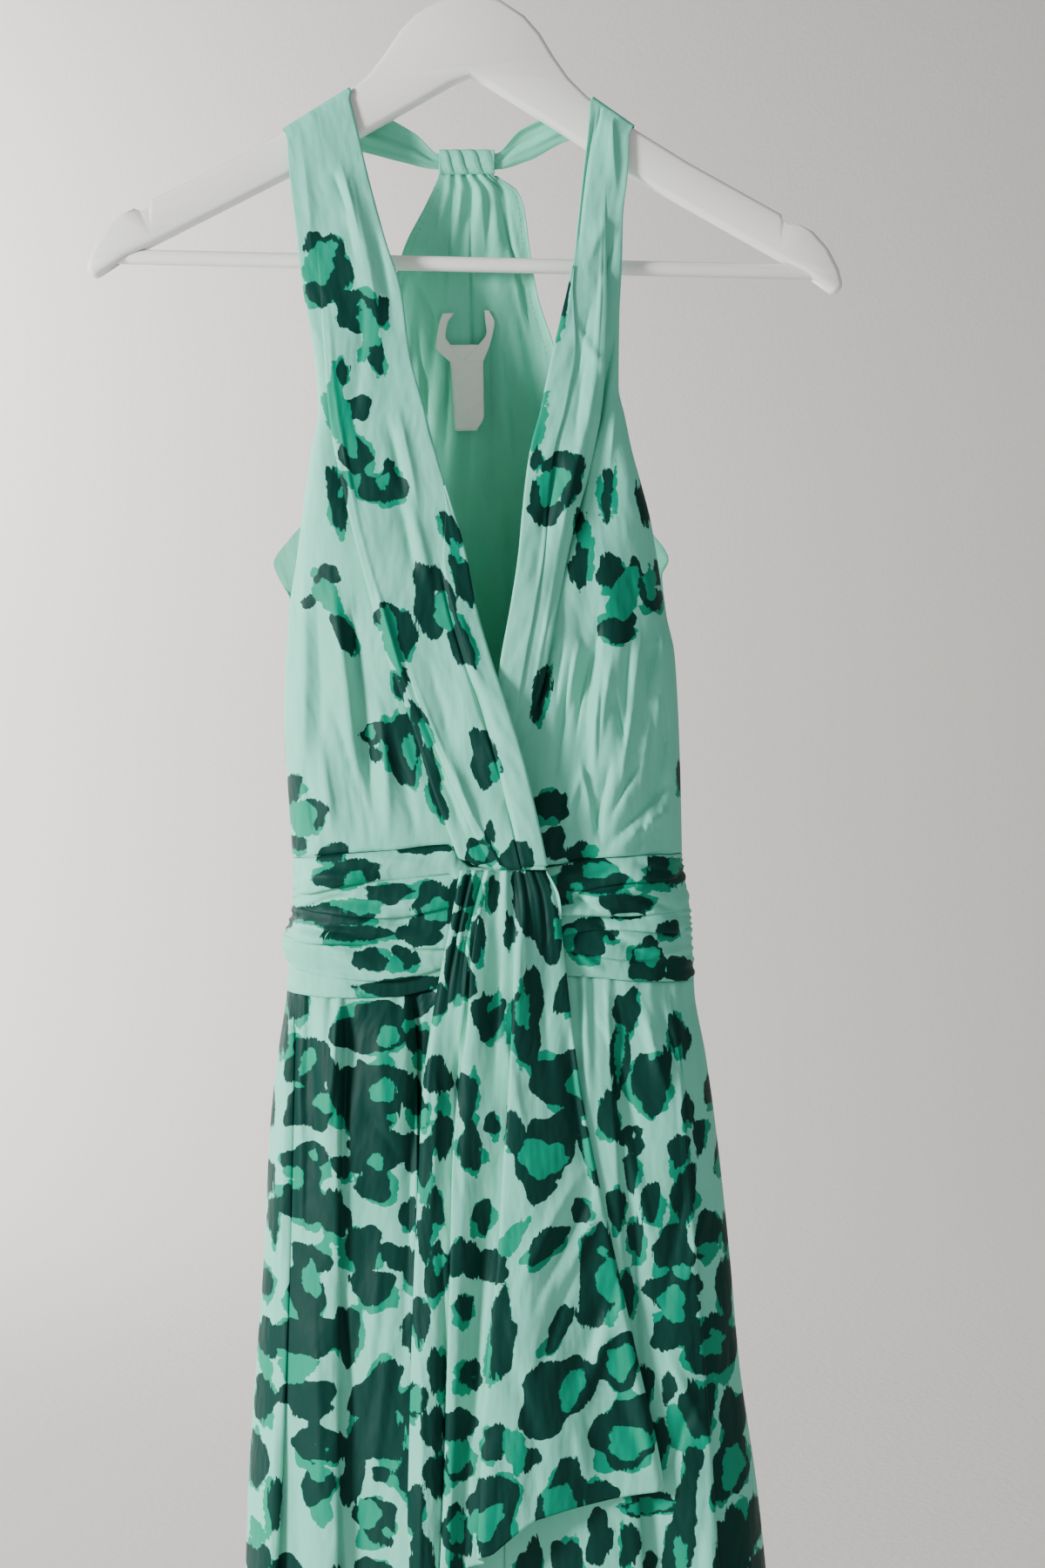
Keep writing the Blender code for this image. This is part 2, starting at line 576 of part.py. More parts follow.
def skirt_front_surface(u, v, left_side):
    """A side front of the skirt from its side seam (0) to the centre seam (1)."""
    top_x = skirt_front_x(u, SKIRT_TOP_Z + 0 * u, left_side)
    z = between((at(BAND, "low", top_x) - BAND_LOW_SEAM, HEM_Z), v)
    x = skirt_front_x(u, z, left_side)
    side = at(BODY, "left" if left_side else "right", z)
    edges = SKIRT_LEFT_PLEATS if left_side else SKIRT_RIGHT_PLEATS
    knots = LEFT_KNOTS if left_side else RIGHT_KNOTS
    depth = rounded(np.abs(x - side), SKIRT_ROUND, 0, at(BODY, "front", z))
    stops = knots[-len(edges) - 1 :]
    folds = [(stops[i], edge.height, stops[i + 1] - 0.01) for i, edge in enumerate(edges)]
    grown = 1 + 1.2 * ramp((-0.80 - z) / 0.30)
    depth = depth + pleats(u, folds, 0.035) * grown * ramp((-0.628 - z) / 0.03)
    covered = ramp((0.80 - u) / 0.10)
    waves = 10 if left_side else 9
    gathers = SKIRT_GATHER * np.sin(2 * math.pi * waves * u) * ramp((z + 0.70) / 0.05)
    flutes = SKIRT_FLUTE * np.sin(2 * math.pi * (1.5 * u + 0.1)) * ramp((-0.78 - z) / 0.35)
    depth = depth + (gathers + flutes) * covered * ramp(u / 0.05)
    return x, -depth - SEAM / 2, z


def skirt_back_surface(u, v):
    """The skirt's back from the left side (0) to the right (1)."""
    z = between((between(BACK_BAND_LOW, u) - SEAM, HEM_Z), v)
    left, right = at(BODY, "left", z), at(BODY, "right", z)
    x = left + (right - left) * np.interp(u, ALL_ROUND_KNOTS, ALL_ROUND_SHARES)
    distance = np.minimum(x - left, right - x)
    depth = rounded(distance, SKIRT_ROUND, 0, at(BODY, "back", z))
    gathers = SKIRT_BACK_GATHER * np.sin(2 * math.pi * 11 * u) * ramp((z + 0.73) / 0.08)
    flutes = SKIRT_BACK_FLUTE * np.sin(2 * math.pi * 4.5 * u + 0.6) * ramp((-0.66 - z) / 0.45)
    depth = depth + (gathers + flutes) * ramp(distance / 0.02)
    return x, depth + SEAM / 2, z


DRAPE_KNOTS = (0, 0.30, 0.52, 1)


def drape_surface(u, v):
    """The drape from its gathered top (0) to its slanting hem (1), left to right."""
    z = between((DRAPE_TOP_Z, at(DRAPE_HEM, "z", u)), v)
    lines = [at(DRAPE, name, z) for name in ("left", "fold_1", "fold_2", "right")]
    x = across(u, DRAPE_KNOTS, lines)
    depth = at(BODY, "front", z) + DRAPE_OFF + 0.0030 * ramp((-0.72 - z) / 0.2)
    opened = ramp((-0.57 - z) / 0.05)
    folds = ((0.0, 0.0010, 0.28), (0.30, 0.0030, 0.50), (0.52, 0.0035, 0.98))
    depth = depth + pleats(u, folds, 0.06) * opened
    depth = depth + DRAPE_GATHER * np.sin(2 * math.pi * 7 * u) * ramp((z + 0.60) / 0.03)
    flutes = np.sin(2 * math.pi * 2.2 * u - 1.0) * ramp((-0.68 - z) / 0.2)
    return x, -depth - DRAPE_FLUTE * flutes * ramp(u / 0.1), z


def moved_out(point, distance):
    """The same points, further out from the body."""
    x, y, z = point
    return x, y - distance, z


# ---------------------------------------------------------------- making the objects
def finish(name):
    """The material of that name, made once."""
    material = bpy.data.materials.get(name)
    if material is None:
        material = bpy.data.materials.new(name)
        material.use_nodes = True
        shader = material.node_tree.nodes["Principled BSDF"]
        colour, roughness, metallic = FINISHES[name]
        shader.inputs["Base Color"].default_value = colour
        shader.inputs["Roughness"].default_value = roughness
        shader.inputs["Metallic"].default_value = metallic
        material.diffuse_color = colour
    return material


def add(mesh, name, collection, material):
    """A new object of the mesh, in the collection, with its material."""
    obj = bpy.data.objects.new(name, mesh)
    collection.objects.link(obj)
    mesh.materials.append(finish(material))
    return obj


def cloth(name, surface, columns, rows, collection, wall=WALL, ring=False):
    """A grid bent to a surface and given its wall. A ring's last column is welded to its first."""
    work = bmesh.new()
    bmesh.ops.create_grid(work, x_segments=len(columns) - 1, y_segments=len(rows) - 1, size=0.5)
    flat = np.array([vert.co for vert in work.verts]) + 0.5
    u = columns[np.rint(flat[:, 0] * (len(columns) - 1)).astype(int)]
    v = rows[np.rint(flat[:, 1] * (len(rows) - 1)).astype(int)]
    for vert, place in zip(work.verts, np.stack(surface(u, v), axis=1)):
        vert.co = place
    if ring:
        bmesh.ops.remove_doubles(work, verts=work.verts, dist=1e-6)
    mesh = bpy.data.meshes.new(name)
    work.to_mesh(mesh)
    work.free()
    obj = add(mesh, name, collection, "printed_cloth")
    thick = obj.modifiers.new("wall", "SOLIDIFY")
    thick.thickness = wall
    thick.offset = 0
    thick.use_even_offset = True
    mesh.shade_smooth()
    return obj


def front_with_strap(front, front_x, stations):
    """A front and its strap as one surface: v from -2 (loop) to 0 (arm's top) to 1 (waist)."""

    def surface(u, v):
        strap = strap_surface(stations, front_x, u, np.clip(v + 2, 0, 2))
        panel = front(u, np.clip(v, 0, 1))
        return tuple(np.where(v < 0, one, other) for one, other in zip(strap, panel))

    return surface


STRAP_ROWS = (-2, -1.70, -1.50, -1.32, -1.16, -1, -0.84, -0.66, -0.5, -0.34, -0.16, -0.04)
OVER_STRETCHES = ((0.11, 1), (0.38, 2), (0.465, 1), (0.50, 1), (0.585, 1), (0.62, 1), (0.80, 3))
UNDER_STRETCHES = ((0.16, 1), (0.37, 1), (0.42, 1), (0.78, 5), (0.87, 1))
LAST_STRETCHES = ((0.94, 1), (0.98, 1), (1, 1))


def make_fronts(parts):
    """The two fronts, each with its strap, and the binding along their necklines."""
    rows = np.array([*STRAP_ROWS, *np.linspace(0.03, 1.0, 17)])
    over = front_with_strap(front_over_surface, front_over_x, STRAP_OVER)
    cloth("front_over", over, spaced(*OVER_STRETCHES, (0.88, 1), *LAST_STRETCHES), rows, parts)
    under = front_with_strap(front_under_surface, front_under_x, STRAP_UNDER)
    cloth("front_under", under, spaced(*UNDER_STRETCHES, *LAST_STRETCHES), rows, parts)

    off = WALL / 2 + 2 * SEAM + BAND_WALL / 2
    edges = np.array([0.0, 1.0])

    def band_over(u, v):
        return moved_out(front_over_surface(u * 0.105, 0.53 + 0.465 * v), off)

    def band_under(u, v):
        return moved_out(front_under_surface(u * 0.155, 0.22 + 0.61 * v), off)

    cloth("neck_band_over", band_over, edges, np.linspace(0, 1, 15), parts, wall=BAND_WALL)
    cloth("neck_band_under", band_under, edges, np.linspace(0, 1, 13), parts, wall=BAND_WALL)


def make_back(parts):
    """The racer back, the loop that its top and the straps run into, and its label."""
    rows = spaced((UNDERARM_SHARE, 8), (0.61, 1), (1, 5))
    cloth("back_bodice", back_surface, all_round(18), rows, parts)

    def loop(u, v):
        turn = 2 * math.pi * u
        x = LOOP_MID_X - LOOP_HALF_LENGTH + 2 * LOOP_HALF_LENGTH * v
        pleated = LOOP_HALF_DEPTH + LOOP_PLEAT * np.cos(turn * 4 + v * 5)
        rise = np.sign(np.sin(turn)) * np.abs(np.sin(turn)) ** 0.7
        return x, LOOP_Y + pleated * np.cos(turn), LOOP_Z + LOOP_HALF_HEIGHT * rise

    cloth("back_loop", loop, np.linspace(0, 1, 21), np.linspace(0, 1, 5), parts, ring=True)

    tape = outline_object("care_label", LABEL_OUTLINE, BAND_WALL / 2, parts, "label_tape")
    tape.location.y = at(BACK, "depth", LABEL_TOP) - LABEL_OFF


HALF_STRETCHES = ((0.03, 1), (0.09, 1), (0.18, 1), (0.30, 1), (0.70, 3), (0.80, 1), (0.88, 1), (1, 1))
LEFT_STRETCHES = ((0.02, 1), (0.08, 1), (0.16, 1), (0.195, 1), (0.42, 5), (0.455, 1), (0.72, 6))
RIGHT_STRETCHES = ((0.02, 1), (0.06, 1), (0.14, 1), (0.175, 1), (0.44, 7), (0.475, 1), (0.80, 7))


def make_waist(parts):
    """The ruched waistband in three pieces, and the drape that falls from the wrap."""
    rows = spaced((0.03, 1), (0.97, 13), (1, 1))
    columns = spaced(*HALF_STRETCHES)
    for name, left_side in (("waistband_front_left", True), ("waistband_front_right", False)):
        cloth(name, partial(band_front_surface, left_side=left_side), columns, rows, parts)
    back_rows = spaced((0.03, 1), (0.97, 9), (1, 1))
    cloth("waistband_back", band_back_surface, all_round(6), back_rows, parts)
    drape_rows = spaced((0.10, 3), (1, 12))
    cloth("centre_drape", drape_surface, np.linspace(0, 1, 20), drape_rows, parts)


def make_skirt(parts):
    """Two side fronts, which meet under the drape, and one back."""
    rows = spaced((0.03, 1), (0.12, 2), (1, 7))
    left = partial(skirt_front_surface, left_side=True)
    right = partial(skirt_front_surface, left_side=False)
    cloth("skirt_front_left", left, spaced(*LEFT_STRETCHES, (0.755, 1), (1, 3)), rows, parts)
    cloth("skirt_front_right", right, spaced(*RIGHT_STRETCHES, (1, 2)), rows, parts)
    cloth("skirt_back", skirt_back_surface, all_round(34), rows, parts)


def outline_object(name, points, half, collection, material):
    """A flat outline in the XZ plane, made as a filled 2D curve and then a mesh."""
    curve = bpy.data.curves.new(name, "CURVE")
    curve.dimensions = "2D"
    curve.fill_mode = "BOTH"
    curve.extrude = half
    spline = curve.splines.new("POLY")
    spline.points.add(len(points) - 1)
    for place, (x, z) in zip(spline.points, points):
        place.co = (x, z, 0, 1)
    spline.use_cyclic_u = True
    guide = bpy.data.objects.new(name + "_outline", curve)
    collection.objects.link(guide)
    guide.rotation_euler.x = math.pi / 2
    bpy.context.view_layer.update()
    graph = bpy.context.evaluated_depsgraph_get()
    mesh = bpy.data.meshes.new_from_object(guide.evaluated_get(graph))
    work = bmesh.new()
    work.from_mesh(mesh)
    bmesh.ops.remove_doubles(work, verts=work.verts, dist=1e-6)
    bmesh.ops.transform(work, matrix=guide.matrix_world, verts=work.verts)
    bmesh.ops.recalc_face_normals(work, faces=work.faces)
    work.to_mesh(mesh)
    work.free()
    bpy.data.objects.remove(guide)
    return add(mesh, name, collection, material)


def cut(target, name, radius, depth, place, turned, cutters):
    """A round cutter, taken out of the target."""
    bpy.ops.mesh.primitive_cylinder_add(
        vertices=24, radius=radius, depth=depth, location=place, rotation=turned
    )
    cutter = bpy.context.object
    cutter.name = name
    cutter.hide_render = True
    cutter.display_type = "WIRE"
    for home in list(cutter.users_collection):
        home.objects.unlink(cutter)
    cutters.objects.link(cutter)
    boolean = target.modifiers.new(name, "BOOLEAN")
    boolean.operation = "DIFFERENCE"
    boolean.object = cutter
    boolean.solver = "EXACT"
    return cutter


def wire(name, points, radius, collection, material):
    """A round wire with closed ends along the points."""
    curve = bpy.data.curves.new(name, "CURVE")
    curve.dimensions = "3D"
    curve.bevel_depth = radius
    curve.bevel_resolution = 3
    curve.use_fill_caps = True
    spline = curve.splines.new("POLY")
    spline.points.add(len(points) - 1)
    for place, point in zip(spline.points, points):
        place.co = (*point, 1)
    obj = bpy.data.objects.new(name, curve)
    collection.objects.link(obj)
    curve.materials.append(finish(material))
    return obj


def hook_points():
    """Up the shank, a bend out to the ring, round over the top and down to the open end."""
    foot = DOME_Z - HOOK_BORE_DEPTH + SEAM
    centre_z = HOOK_WIRE - HOOK_RING
    join = math.radians(-55)
    join_x, join_z = HOOK_RING * math.cos(join), centre_z + HOOK_RING * math.sin(join)
    bend = (join_x - SHANK_X) / (1 - math.cos(-join))
    start_z = join_z - bend * math.sin(-join)
    points = [(SHANK_X, 0, foot), (SHANK_X, 0, start_z)]
    for i in range(1, 6):
        turn = -join * i / 5
        points.append((SHANK_X + bend * (1 - math.cos(turn)), 0, start_z + bend * math.sin(turn)))
    for i in range(1, 21):
        turn = join + (math.radians(200) - join) * i / 20
        points.append((HOOK_RING * math.cos(turn), 0, centre_z + HOOK_RING * math.sin(turn)))
    return points


def make_hanger(parts, cutters):
    """Wooden body, wire hook and trouser bar, built upright and tilted together."""
    tilt = bpy.data.objects.new("hanger_tilt", None)
    parts.objects.link(tilt)
    tilt.rotation_euler.y = HANGER_TILT

    right = [*zip(HANGER_TOP["x"], HANGER_TOP["z"])][1:] + list(HANGER_LOW)
    left = [(-x, z) for x, z in reversed(right)]
    outline = [(0, DOME_Z), *right, (0, HANGER_APEX_Z), *left]
    outline = [(x + SHANK_X, z) for x, z in outline]
    body = outline_object("hanger_body", outline, HANGER_THICK / 2, parts, "white_wood")
    edge = body.modifiers.new("rounded_edges", "BEVEL")
    edge.width = HANGER_ROUND
    edge.segments = 2
    edge.limit_method = "ANGLE"
    edge.angle_limit = math.radians(60)
    upright, sideways, through = (0, 0, 0), (0, math.pi / 2, 0), (math.pi / 2, 0, 0)
    dome, bore, seat = (SHANK_X, 0, DOME_Z), HOOK_WIRE + SEAM, BAR_RADIUS + SEAM
    cuts = [cut(body, "bore_hook", bore, 2 * HOOK_BORE_DEPTH, dome, upright, cutters)]
    for sign, name in ((-1, "left"), (1, "right")):
        inner = (SHANK_X + sign * (BAR_HALF + SEAM - BAR_SEAT), 0, BAR_Z)
        notch = (SHANK_X + sign * NOTCH_AT[0], 0, NOTCH_AT[1])
        cuts.append(cut(body, "bore_bar_" + name, seat, 2 * BAR_SEAT, inner, sideways, cutters))
        cuts.append(
            cut(body, "notch_" + name, NOTCH_RADIUS, 2 * HANGER_THICK, notch, through, cutters)
        )
    bar_ends = [(SHANK_X + sign * BAR_HALF, 0, BAR_Z) for sign in (-1, 1)]
    bar = wire("hanger_bar", bar_ends, BAR_RADIUS, parts, "white_wood")
    hook = wire("hanger_hook", hook_points(), HOOK_WIRE, parts, "hook_steel")
    for obj in (body, bar, hook, *cuts):
        obj.parent = tilt


def main():
    for obj in list(bpy.data.objects):
        bpy.data.objects.remove(obj)
    parts = bpy.data.collections.new(COLLECTION)
    cutters = bpy.data.collections.new("cutters")
    bpy.context.scene.collection.children.link(parts)
    bpy.context.scene.collection.children.link(cutters)
    make_hanger(parts, cutters)
    make_fronts(parts)
    make_back(parts)
    make_waist(parts)
    make_skirt(parts)


if __name__ == "__main__":
    main()
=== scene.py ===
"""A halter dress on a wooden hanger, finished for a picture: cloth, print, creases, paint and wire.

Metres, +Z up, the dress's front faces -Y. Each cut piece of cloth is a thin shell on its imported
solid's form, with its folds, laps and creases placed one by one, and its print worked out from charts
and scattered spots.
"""

import logging
import math
from dataclasses import dataclass
from functools import partial
from typing import Callable, Sequence

import bpy
import numpy as np
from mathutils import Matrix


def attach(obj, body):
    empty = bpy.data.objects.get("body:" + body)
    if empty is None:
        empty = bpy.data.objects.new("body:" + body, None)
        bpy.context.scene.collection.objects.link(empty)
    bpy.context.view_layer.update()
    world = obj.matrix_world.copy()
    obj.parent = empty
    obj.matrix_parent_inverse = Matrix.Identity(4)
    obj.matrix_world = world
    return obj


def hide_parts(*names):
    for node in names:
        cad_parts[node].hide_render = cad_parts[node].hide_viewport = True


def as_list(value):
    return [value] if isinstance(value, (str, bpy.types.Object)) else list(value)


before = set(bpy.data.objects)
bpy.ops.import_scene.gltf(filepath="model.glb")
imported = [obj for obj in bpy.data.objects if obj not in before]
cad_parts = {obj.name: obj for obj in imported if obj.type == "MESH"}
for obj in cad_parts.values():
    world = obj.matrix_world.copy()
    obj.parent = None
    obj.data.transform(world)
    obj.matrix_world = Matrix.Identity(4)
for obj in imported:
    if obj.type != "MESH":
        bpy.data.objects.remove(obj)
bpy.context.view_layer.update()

logging.basicConfig(level=logging.INFO, format="%(message)s")
LOG = logging.getLogger("halter_dress")

Array = np.ndarray
Point = tuple[Array, Array, Array]
Surface = Callable[[Array, Array], Point]
Fields = tuple[Array, Array, Array]
Chart = Callable[[Array, Array, Array, Array], Fields]
Sizes = dict[str, Array]
Vector = tuple[float, float, float]

# ------------------------------------------------------------------ sizes of the dress
SEAM = 0.0003
CLOTH = 0.0007  # one thickness of the satin
TAPE = 0.0006
HEM_Z = -1.170
HEM_TURN = 0.0160
SKIRT_TOP_Z = -0.630
HEM_SHARE = HEM_TURN / (SKIRT_TOP_Z - HEM_Z)
ARMHOLE_Z = -0.330
ARM_Z = -0.130
CENTRE_SEAM_X = 0.0200
NECK_BAND_WIDTH = 0.0125
BACK_WAIST = (-0.5585, -0.5555)
BACK_BAND_LOW = (-0.6335, -0.6272)
DRAPE_TOP_Z = -0.5638
DRAPE_OFF = 0.0075
STRAP_ROUND, BACK_ROUND, WAIST_ROUND, SKIRT_ROUND = 0.012, 0.010, 0.052, 0.060
LOOP_MID = (-0.0022, 0.0110, -0.1563)
LOOP_HALF = (0.0160, 0.0034, 0.0068)

HANGER_THICK = 0.0130
HANGER_ROUND = 0.0028
HANGER_TILT = math.radians(1.3)
SHANK_X = 0.0020
STRAP_CLEAR = 0.00135
STRAP_BELOW = 0.0010


def table(columns: str, *rows: Sequence[float]) -> Sizes:
    """Sizes under named columns, from rows in millimetres.

    Args:
        columns: the columns' names; the first is what the others are read by, and u or w is a share.
        rows: one row for each section or fold.

    Returns:
        An array in metres for each column, in the first column's order.
    """
    names, values = columns.split(), np.array(sorted(rows), float).T
    return {name: column / (1 if name in ("u", "w") else 1000) for name, column in zip(names, values)}


BODY = table(
    "z left right front back",
    (-385, -98, 106, 31, 28), (-415, -103.2, 111.8, 34, 29.5), (-445, -105.2, 117, 36, 30.5),
    (-491, -106.2, 119.5, 38, 32), (-516, -104.2, 120.3, 39.5, 33), (-558, -101, 121.2, 41, 34),
    (-586, -101.2, 125.5, 42, 34.5), (-609, -107.5, 127, 42.5, 34.5), (-621, -103.6, 127.7, 42.8, 35),
    (-634, -104.5, 128.2, 43, 35), (-670, -109.7, 134.5, 45, 36.5), (-713, -114.2, 140.5, 47, 38),
    (-785, -117.7, 148.3, 49, 40.5), (-846, -122, 153.7, 52, 43), (-916, -126.5, 163.7, 56, 46),
    (-965, -128, 169, 58, 49), (-1170, -134, 188, 68, 58),
)
FRONT_OVER = table(
    "z edge inner outer side side_y depth",
    (-119, -70, -86, -95, -106, 8, 8), (-143, -64, -85, -94.5, -104.5, 8.8, 8.8),
    (-165, -59, -83, -92.5, -102.9, 9.5, 10), (-206, -48, -79, -88.5, -98.2, 11, 12.5),
    (-236, -38.7, -77, -85.5, -94.5, 12, 15), (-273, -33.6, -74, -81.5, -88, 13, 19),
    (-302, -26, -70.5, -78, -85.8, 13, 23), (-327, -19.5, -66.5, -73.5, -89.8, 12, 26),
    (-359, -10.2, -60.5, -67.5, -94.7, 9, 29), (-386, -3, -54, -61, -98.5, 4, 31),
    (-415, 2.5, -45.5, -52.3, -103.2, 0.3, 34), (-445, 11, -36, -43.5, -105.2, 0, 36),
    (-472, 20, -26.2, -34.5, -106, 0, 37.5), (-509, 31, -10.5, -23.2, -104.6, 0, 39),
    (-541, 38.5, 5, -11.5, -102.5, 0, 40.5), (-563.5, 43.2, 17.5, -4, -101, 0, 41),
)
FRONT_UNDER = table(
    "z edge fold side side_y depth",
    (-119, 69, 81, 93, 8, 8), (-143, 67.5, 80, 90.6, 8.8, 8.8), (-165, 65, 79, 90, 9.5, 10),
    (-193, 62, 77.5, 87, 10.5, 11.5), (-218, 59, 77, 86.4, 11.5, 13.5), (-252, 52.5, 76.5, 84.8, 12.5, 17),
    (-290, 44.5, 75.5, 84.4, 13, 22), (-307, 41, 74, 87.9, 13, 23.5), (-326, 36, 70.6, 91.9, 12, 26),
    (-344, 33.2, 66.5, 96.9, 10.5, 27.5), (-365, 31, 60, 102.6, 8, 29.5), (-386, 29.1, 54.5, 106.5, 4, 31),
    (-418, 24.3, 48, 111.8, 0.3, 34), (-441, 20, 43.5, 116.8, 0, 36), (-462, 16.4, 40, 118.3, 0, 37),
    (-483, 12.5, 35, 119.3, 0, 38), (-515, 6.8, 28, 120.3, 0, 39.5), (-562, 6, 20, 121.3, 0, 41),
)
BACK = table(
    "z left right side_y depth",
    (-164, -18.2, 15, 11, 11), (-172, -21.5, 26.5, 11.2, 11.8), (-181, -25.8, 30.5, 11.5, 12.5),
    (-206, -38.5, 34, 12.5, 14.5), (-232, -45.5, 38.5, 13.5, 16.5), (-262, -51.2, 48, 14.5, 19),
    (-303, -63.9, 59, 15, 22.5), (-336, -79.1, 73.5, 14, 25), (-359, -94.4, 92, 11.5, 26.5),
    (-373, -107, 106.1, 9, 27.2), (-387, -116, 114, 6, 28), (-396, -112.5, 110, 3, 28.5),
    (-415, -103.2, 111.8, 0.3, 29.5), (-445, -105.2, 117, 0, 30.5), (-491, -106.2, 119.5, 0, 32),
    (-516, -104.2, 120.3, 0, 33), (-558, -101, 121.2, 0, 34),
)
BAND = table(
    "x top low",
    (-102, -558.4, -633.5), (-72, -555.4, -635.3), (-40, -553, -634.5), (-20, -550.8, -630.5),
    (-11, -550, -628), (-4, -558.5, -626.2), (2, -562.5, -625), (20, -563, -623.5), (40, -563, -622.8),
    (49, -561.9, -622.8), (65, -558.4, -623.5), (85, -556.9, -625.5), (121, -555.4, -627.2),
)
OVER_LOW = table(
    "x low",
    (-102, -557.9), (-72, -554.9), (-40, -552.5), (-20, -550), (-11, -549.6), (-4, -555), (3, -561.2),
    (18, -563.3), (44, -563.4),
)
DRAPE = table(
    "z left fold_1 fold_2 right",
    (-564, -4.5, 10.1, 24.2, 43.6), (-578, -7, 6, 25.2, 50.4), (-596, -10.3, 1.5, 26.1, 53.3),
    (-619, -15, -0.9, 25.5, 56.2), (-649, -20.4, -2.5, 24.3, 59.8), (-686, -25.2, -7.3, 22.8, 65.2),
    (-736, -27.5, -9.8, 18.4, 75.5), (-777, -29.4, -10.1, 15, 84.8), (-827, -31, -10.5, 8.2, 96.1),
    (-903, -32.6, -12, 2, 111.7), (-1030, -34.5, -17, -3, 120),
)
DRAPE_HEM = table(
    "u z",
    (0, -1030), (0.22, -1000), (0.4, -966), (0.56, -938), (0.68, -917), (0.84, -909), (1, -903),
)
STRAP_OVER = table(
    "w in_x in_y in_z out_x out_y out_z",
    (0, -2.5, 11, -151.4, -2.5, 11, -160.7), (0.3, -18.5, 11, -151.4, -18.5, 11, -160.7),
    (0.55, -32, 11, -140.5, -40, 11, -156), (0.8, -52, 9.8, -129, -70, 9.8, -149),
)
STRAP_UNDER = table(
    "w in_x in_y in_z out_x out_y out_z",
    (0, -1.9, 11, -151.4, -1.9, 11, -160.7), (0.3, 14.2, 11, -151.4, 14.2, 11, -160.7),
    (0.55, 29, 11, -138, 33, 11, -155.5), (0.8, 48, 9.8, -130, 62, 9.8, -143),
)
ARM = table(
    "x z",
    (31, -75.6), (40, -85.4), (48, -98.1), (57, -110.5), (68, -121), (92, -137), (127, -157.6),
)
TAPE_ARM_LEFT = table(
    "z left right",
    (-243.2, -16.4, -9.6), (-248.5, -18.1, -13.4), (-256.6, -19.6, -14.7), (-262.5, -20.4, -11),
    (-271.6, -11.9, -5),
)
TAPE_ARM_RIGHT = table(
    "z left right",
    (-241.5, 8, 10.4), (-248.4, 8.6, 13.7), (-254.1, 9.2, 12.8), (-261.7, 4.5, 10.9), (-271.3, -5, 7.2),
)
TAPE_TAIL = table(
    "z left right",
    (-261.7, -16, 10), (-271.3, -11.9, 7.2), (-302.8, -9.9, 7.6), (-311.2, -9.1, 3.4),
)


# ------------------------------------------------------------------ reading the tables
def at(sizes: Sizes, column: str, where: Array | float) -> Array:
    """Read one column smoothly, with no overshoot, level past the table's ends.

    Args:
        sizes: the table.
        column: the column's name.
        where: places in the table's first column.

    Returns:
        The column's value at each place.
    """
    knots, values = next(iter(sizes.values())), sizes[column]
    spans = np.diff(knots)
    rises = np.diff(values) / spans
    product, total = rises[:-1] * rises[1:], rises[:-1] + rises[1:]
    inner = np.where(product > 0, 2 * product / np.where(product > 0, total, 1), 0)
    slopes = np.concatenate([rises[:1], inner, rises[-1:]])
    where = np.clip(where, knots[0], knots[-1])
    i = np.clip(np.searchsorted(knots, where, side="right") - 1, 0, len(spans) - 1)
    t, span = (where - knots[i]) / spans[i], spans[i]
    return (
        (2 * t**3 - 3 * t**2 + 1) * values[i]
        + (t**3 - 2 * t**2 + t) * span * slopes[i]
        + (3 * t**2 - 2 * t**3) * values[i + 1]
        + (t**3 - t**2) * span * slopes[i + 1]
    )


def ramp(value: Array | float) -> Array:
    """0 below 0, 1 above 1 and a soft slope between."""
    value = np.clip(value, 0, 1)
    return value * value * (3 - 2 * value)


def below(z: Array, level: float, soft: float) -> Array:
    """0 down to a level, growing to 1 over a soft distance under it."""
    return ramp((level - z) / soft)


def above(z: Array, level: float, soft: float) -> Array:
    """0 up to a level, growing to 1 over a soft distance over it."""
    return ramp((z - level) / soft)


def inside(share: Array, soft: float) -> Array:
    """0 at both ends of a share, 1 farther than a soft distance from them."""
    return ramp(share / soft) * ramp((1 - share) / soft)


def wave(turns: Array | float) -> Array:
    """A sine of that many whole turns."""
    return np.sin(2 * math.pi * turns)


def bump(distance: Array, width: float) -> Array:
    """1 at no distance, falling softly to 0 in about two widths."""
    return np.exp(-((distance / width) ** 2))


def between(ends: Sequence[Array | float], share: Array | float) -> Array:
    """A value part of the way from the first end to the second."""
    return ends[0] + (ends[1] - ends[0]) * share


def rounding(top: float, z: Array) -> Array:
    """Width over which cloth rounds off at its side: a width down to the armholes, and the waist's below."""
    return top + (WAIST_ROUND - top) * below(z, ARMHOLE_Z, 0.09)


def rounded(distance: Array, width: Array | float, side_y: Array | float, depth: Array) -> Array:
    """Depth of cloth that leaves a side seam straight out and levels off.

    Args:
        distance: from the side seam.
        width: the distance at which the cloth is level.
        side_y: its depth at the seam.
        depth: its depth where it is level.

    Returns:
        The depth at each distance.
    """
    left_to_go = np.clip(1 - distance / width, 0, 1)
    return side_y + (depth - side_y) * (1 - left_to_go**2.4) ** (1 / 2.4)


def across(u: Array, knots: Sequence[float], lines: Sequence[Array | float]) -> Array:
    """Place on the way from the first line (u = 0) to the last (u = 1), with each line at its knot."""
    shares = np.eye(len(knots))
    return sum(np.interp(u, knots, shares[i]) * line for i, line in enumerate(lines))


ALL_ROUND_KNOTS = (0, 0.01, 0.03, 0.06, 0.11, 0.89, 0.94, 0.97, 0.99, 1)
ALL_ROUND_SHARES = (0, 0.003, 0.018, 0.06, 0.14, 0.86, 0.94, 0.982, 0.997, 1)


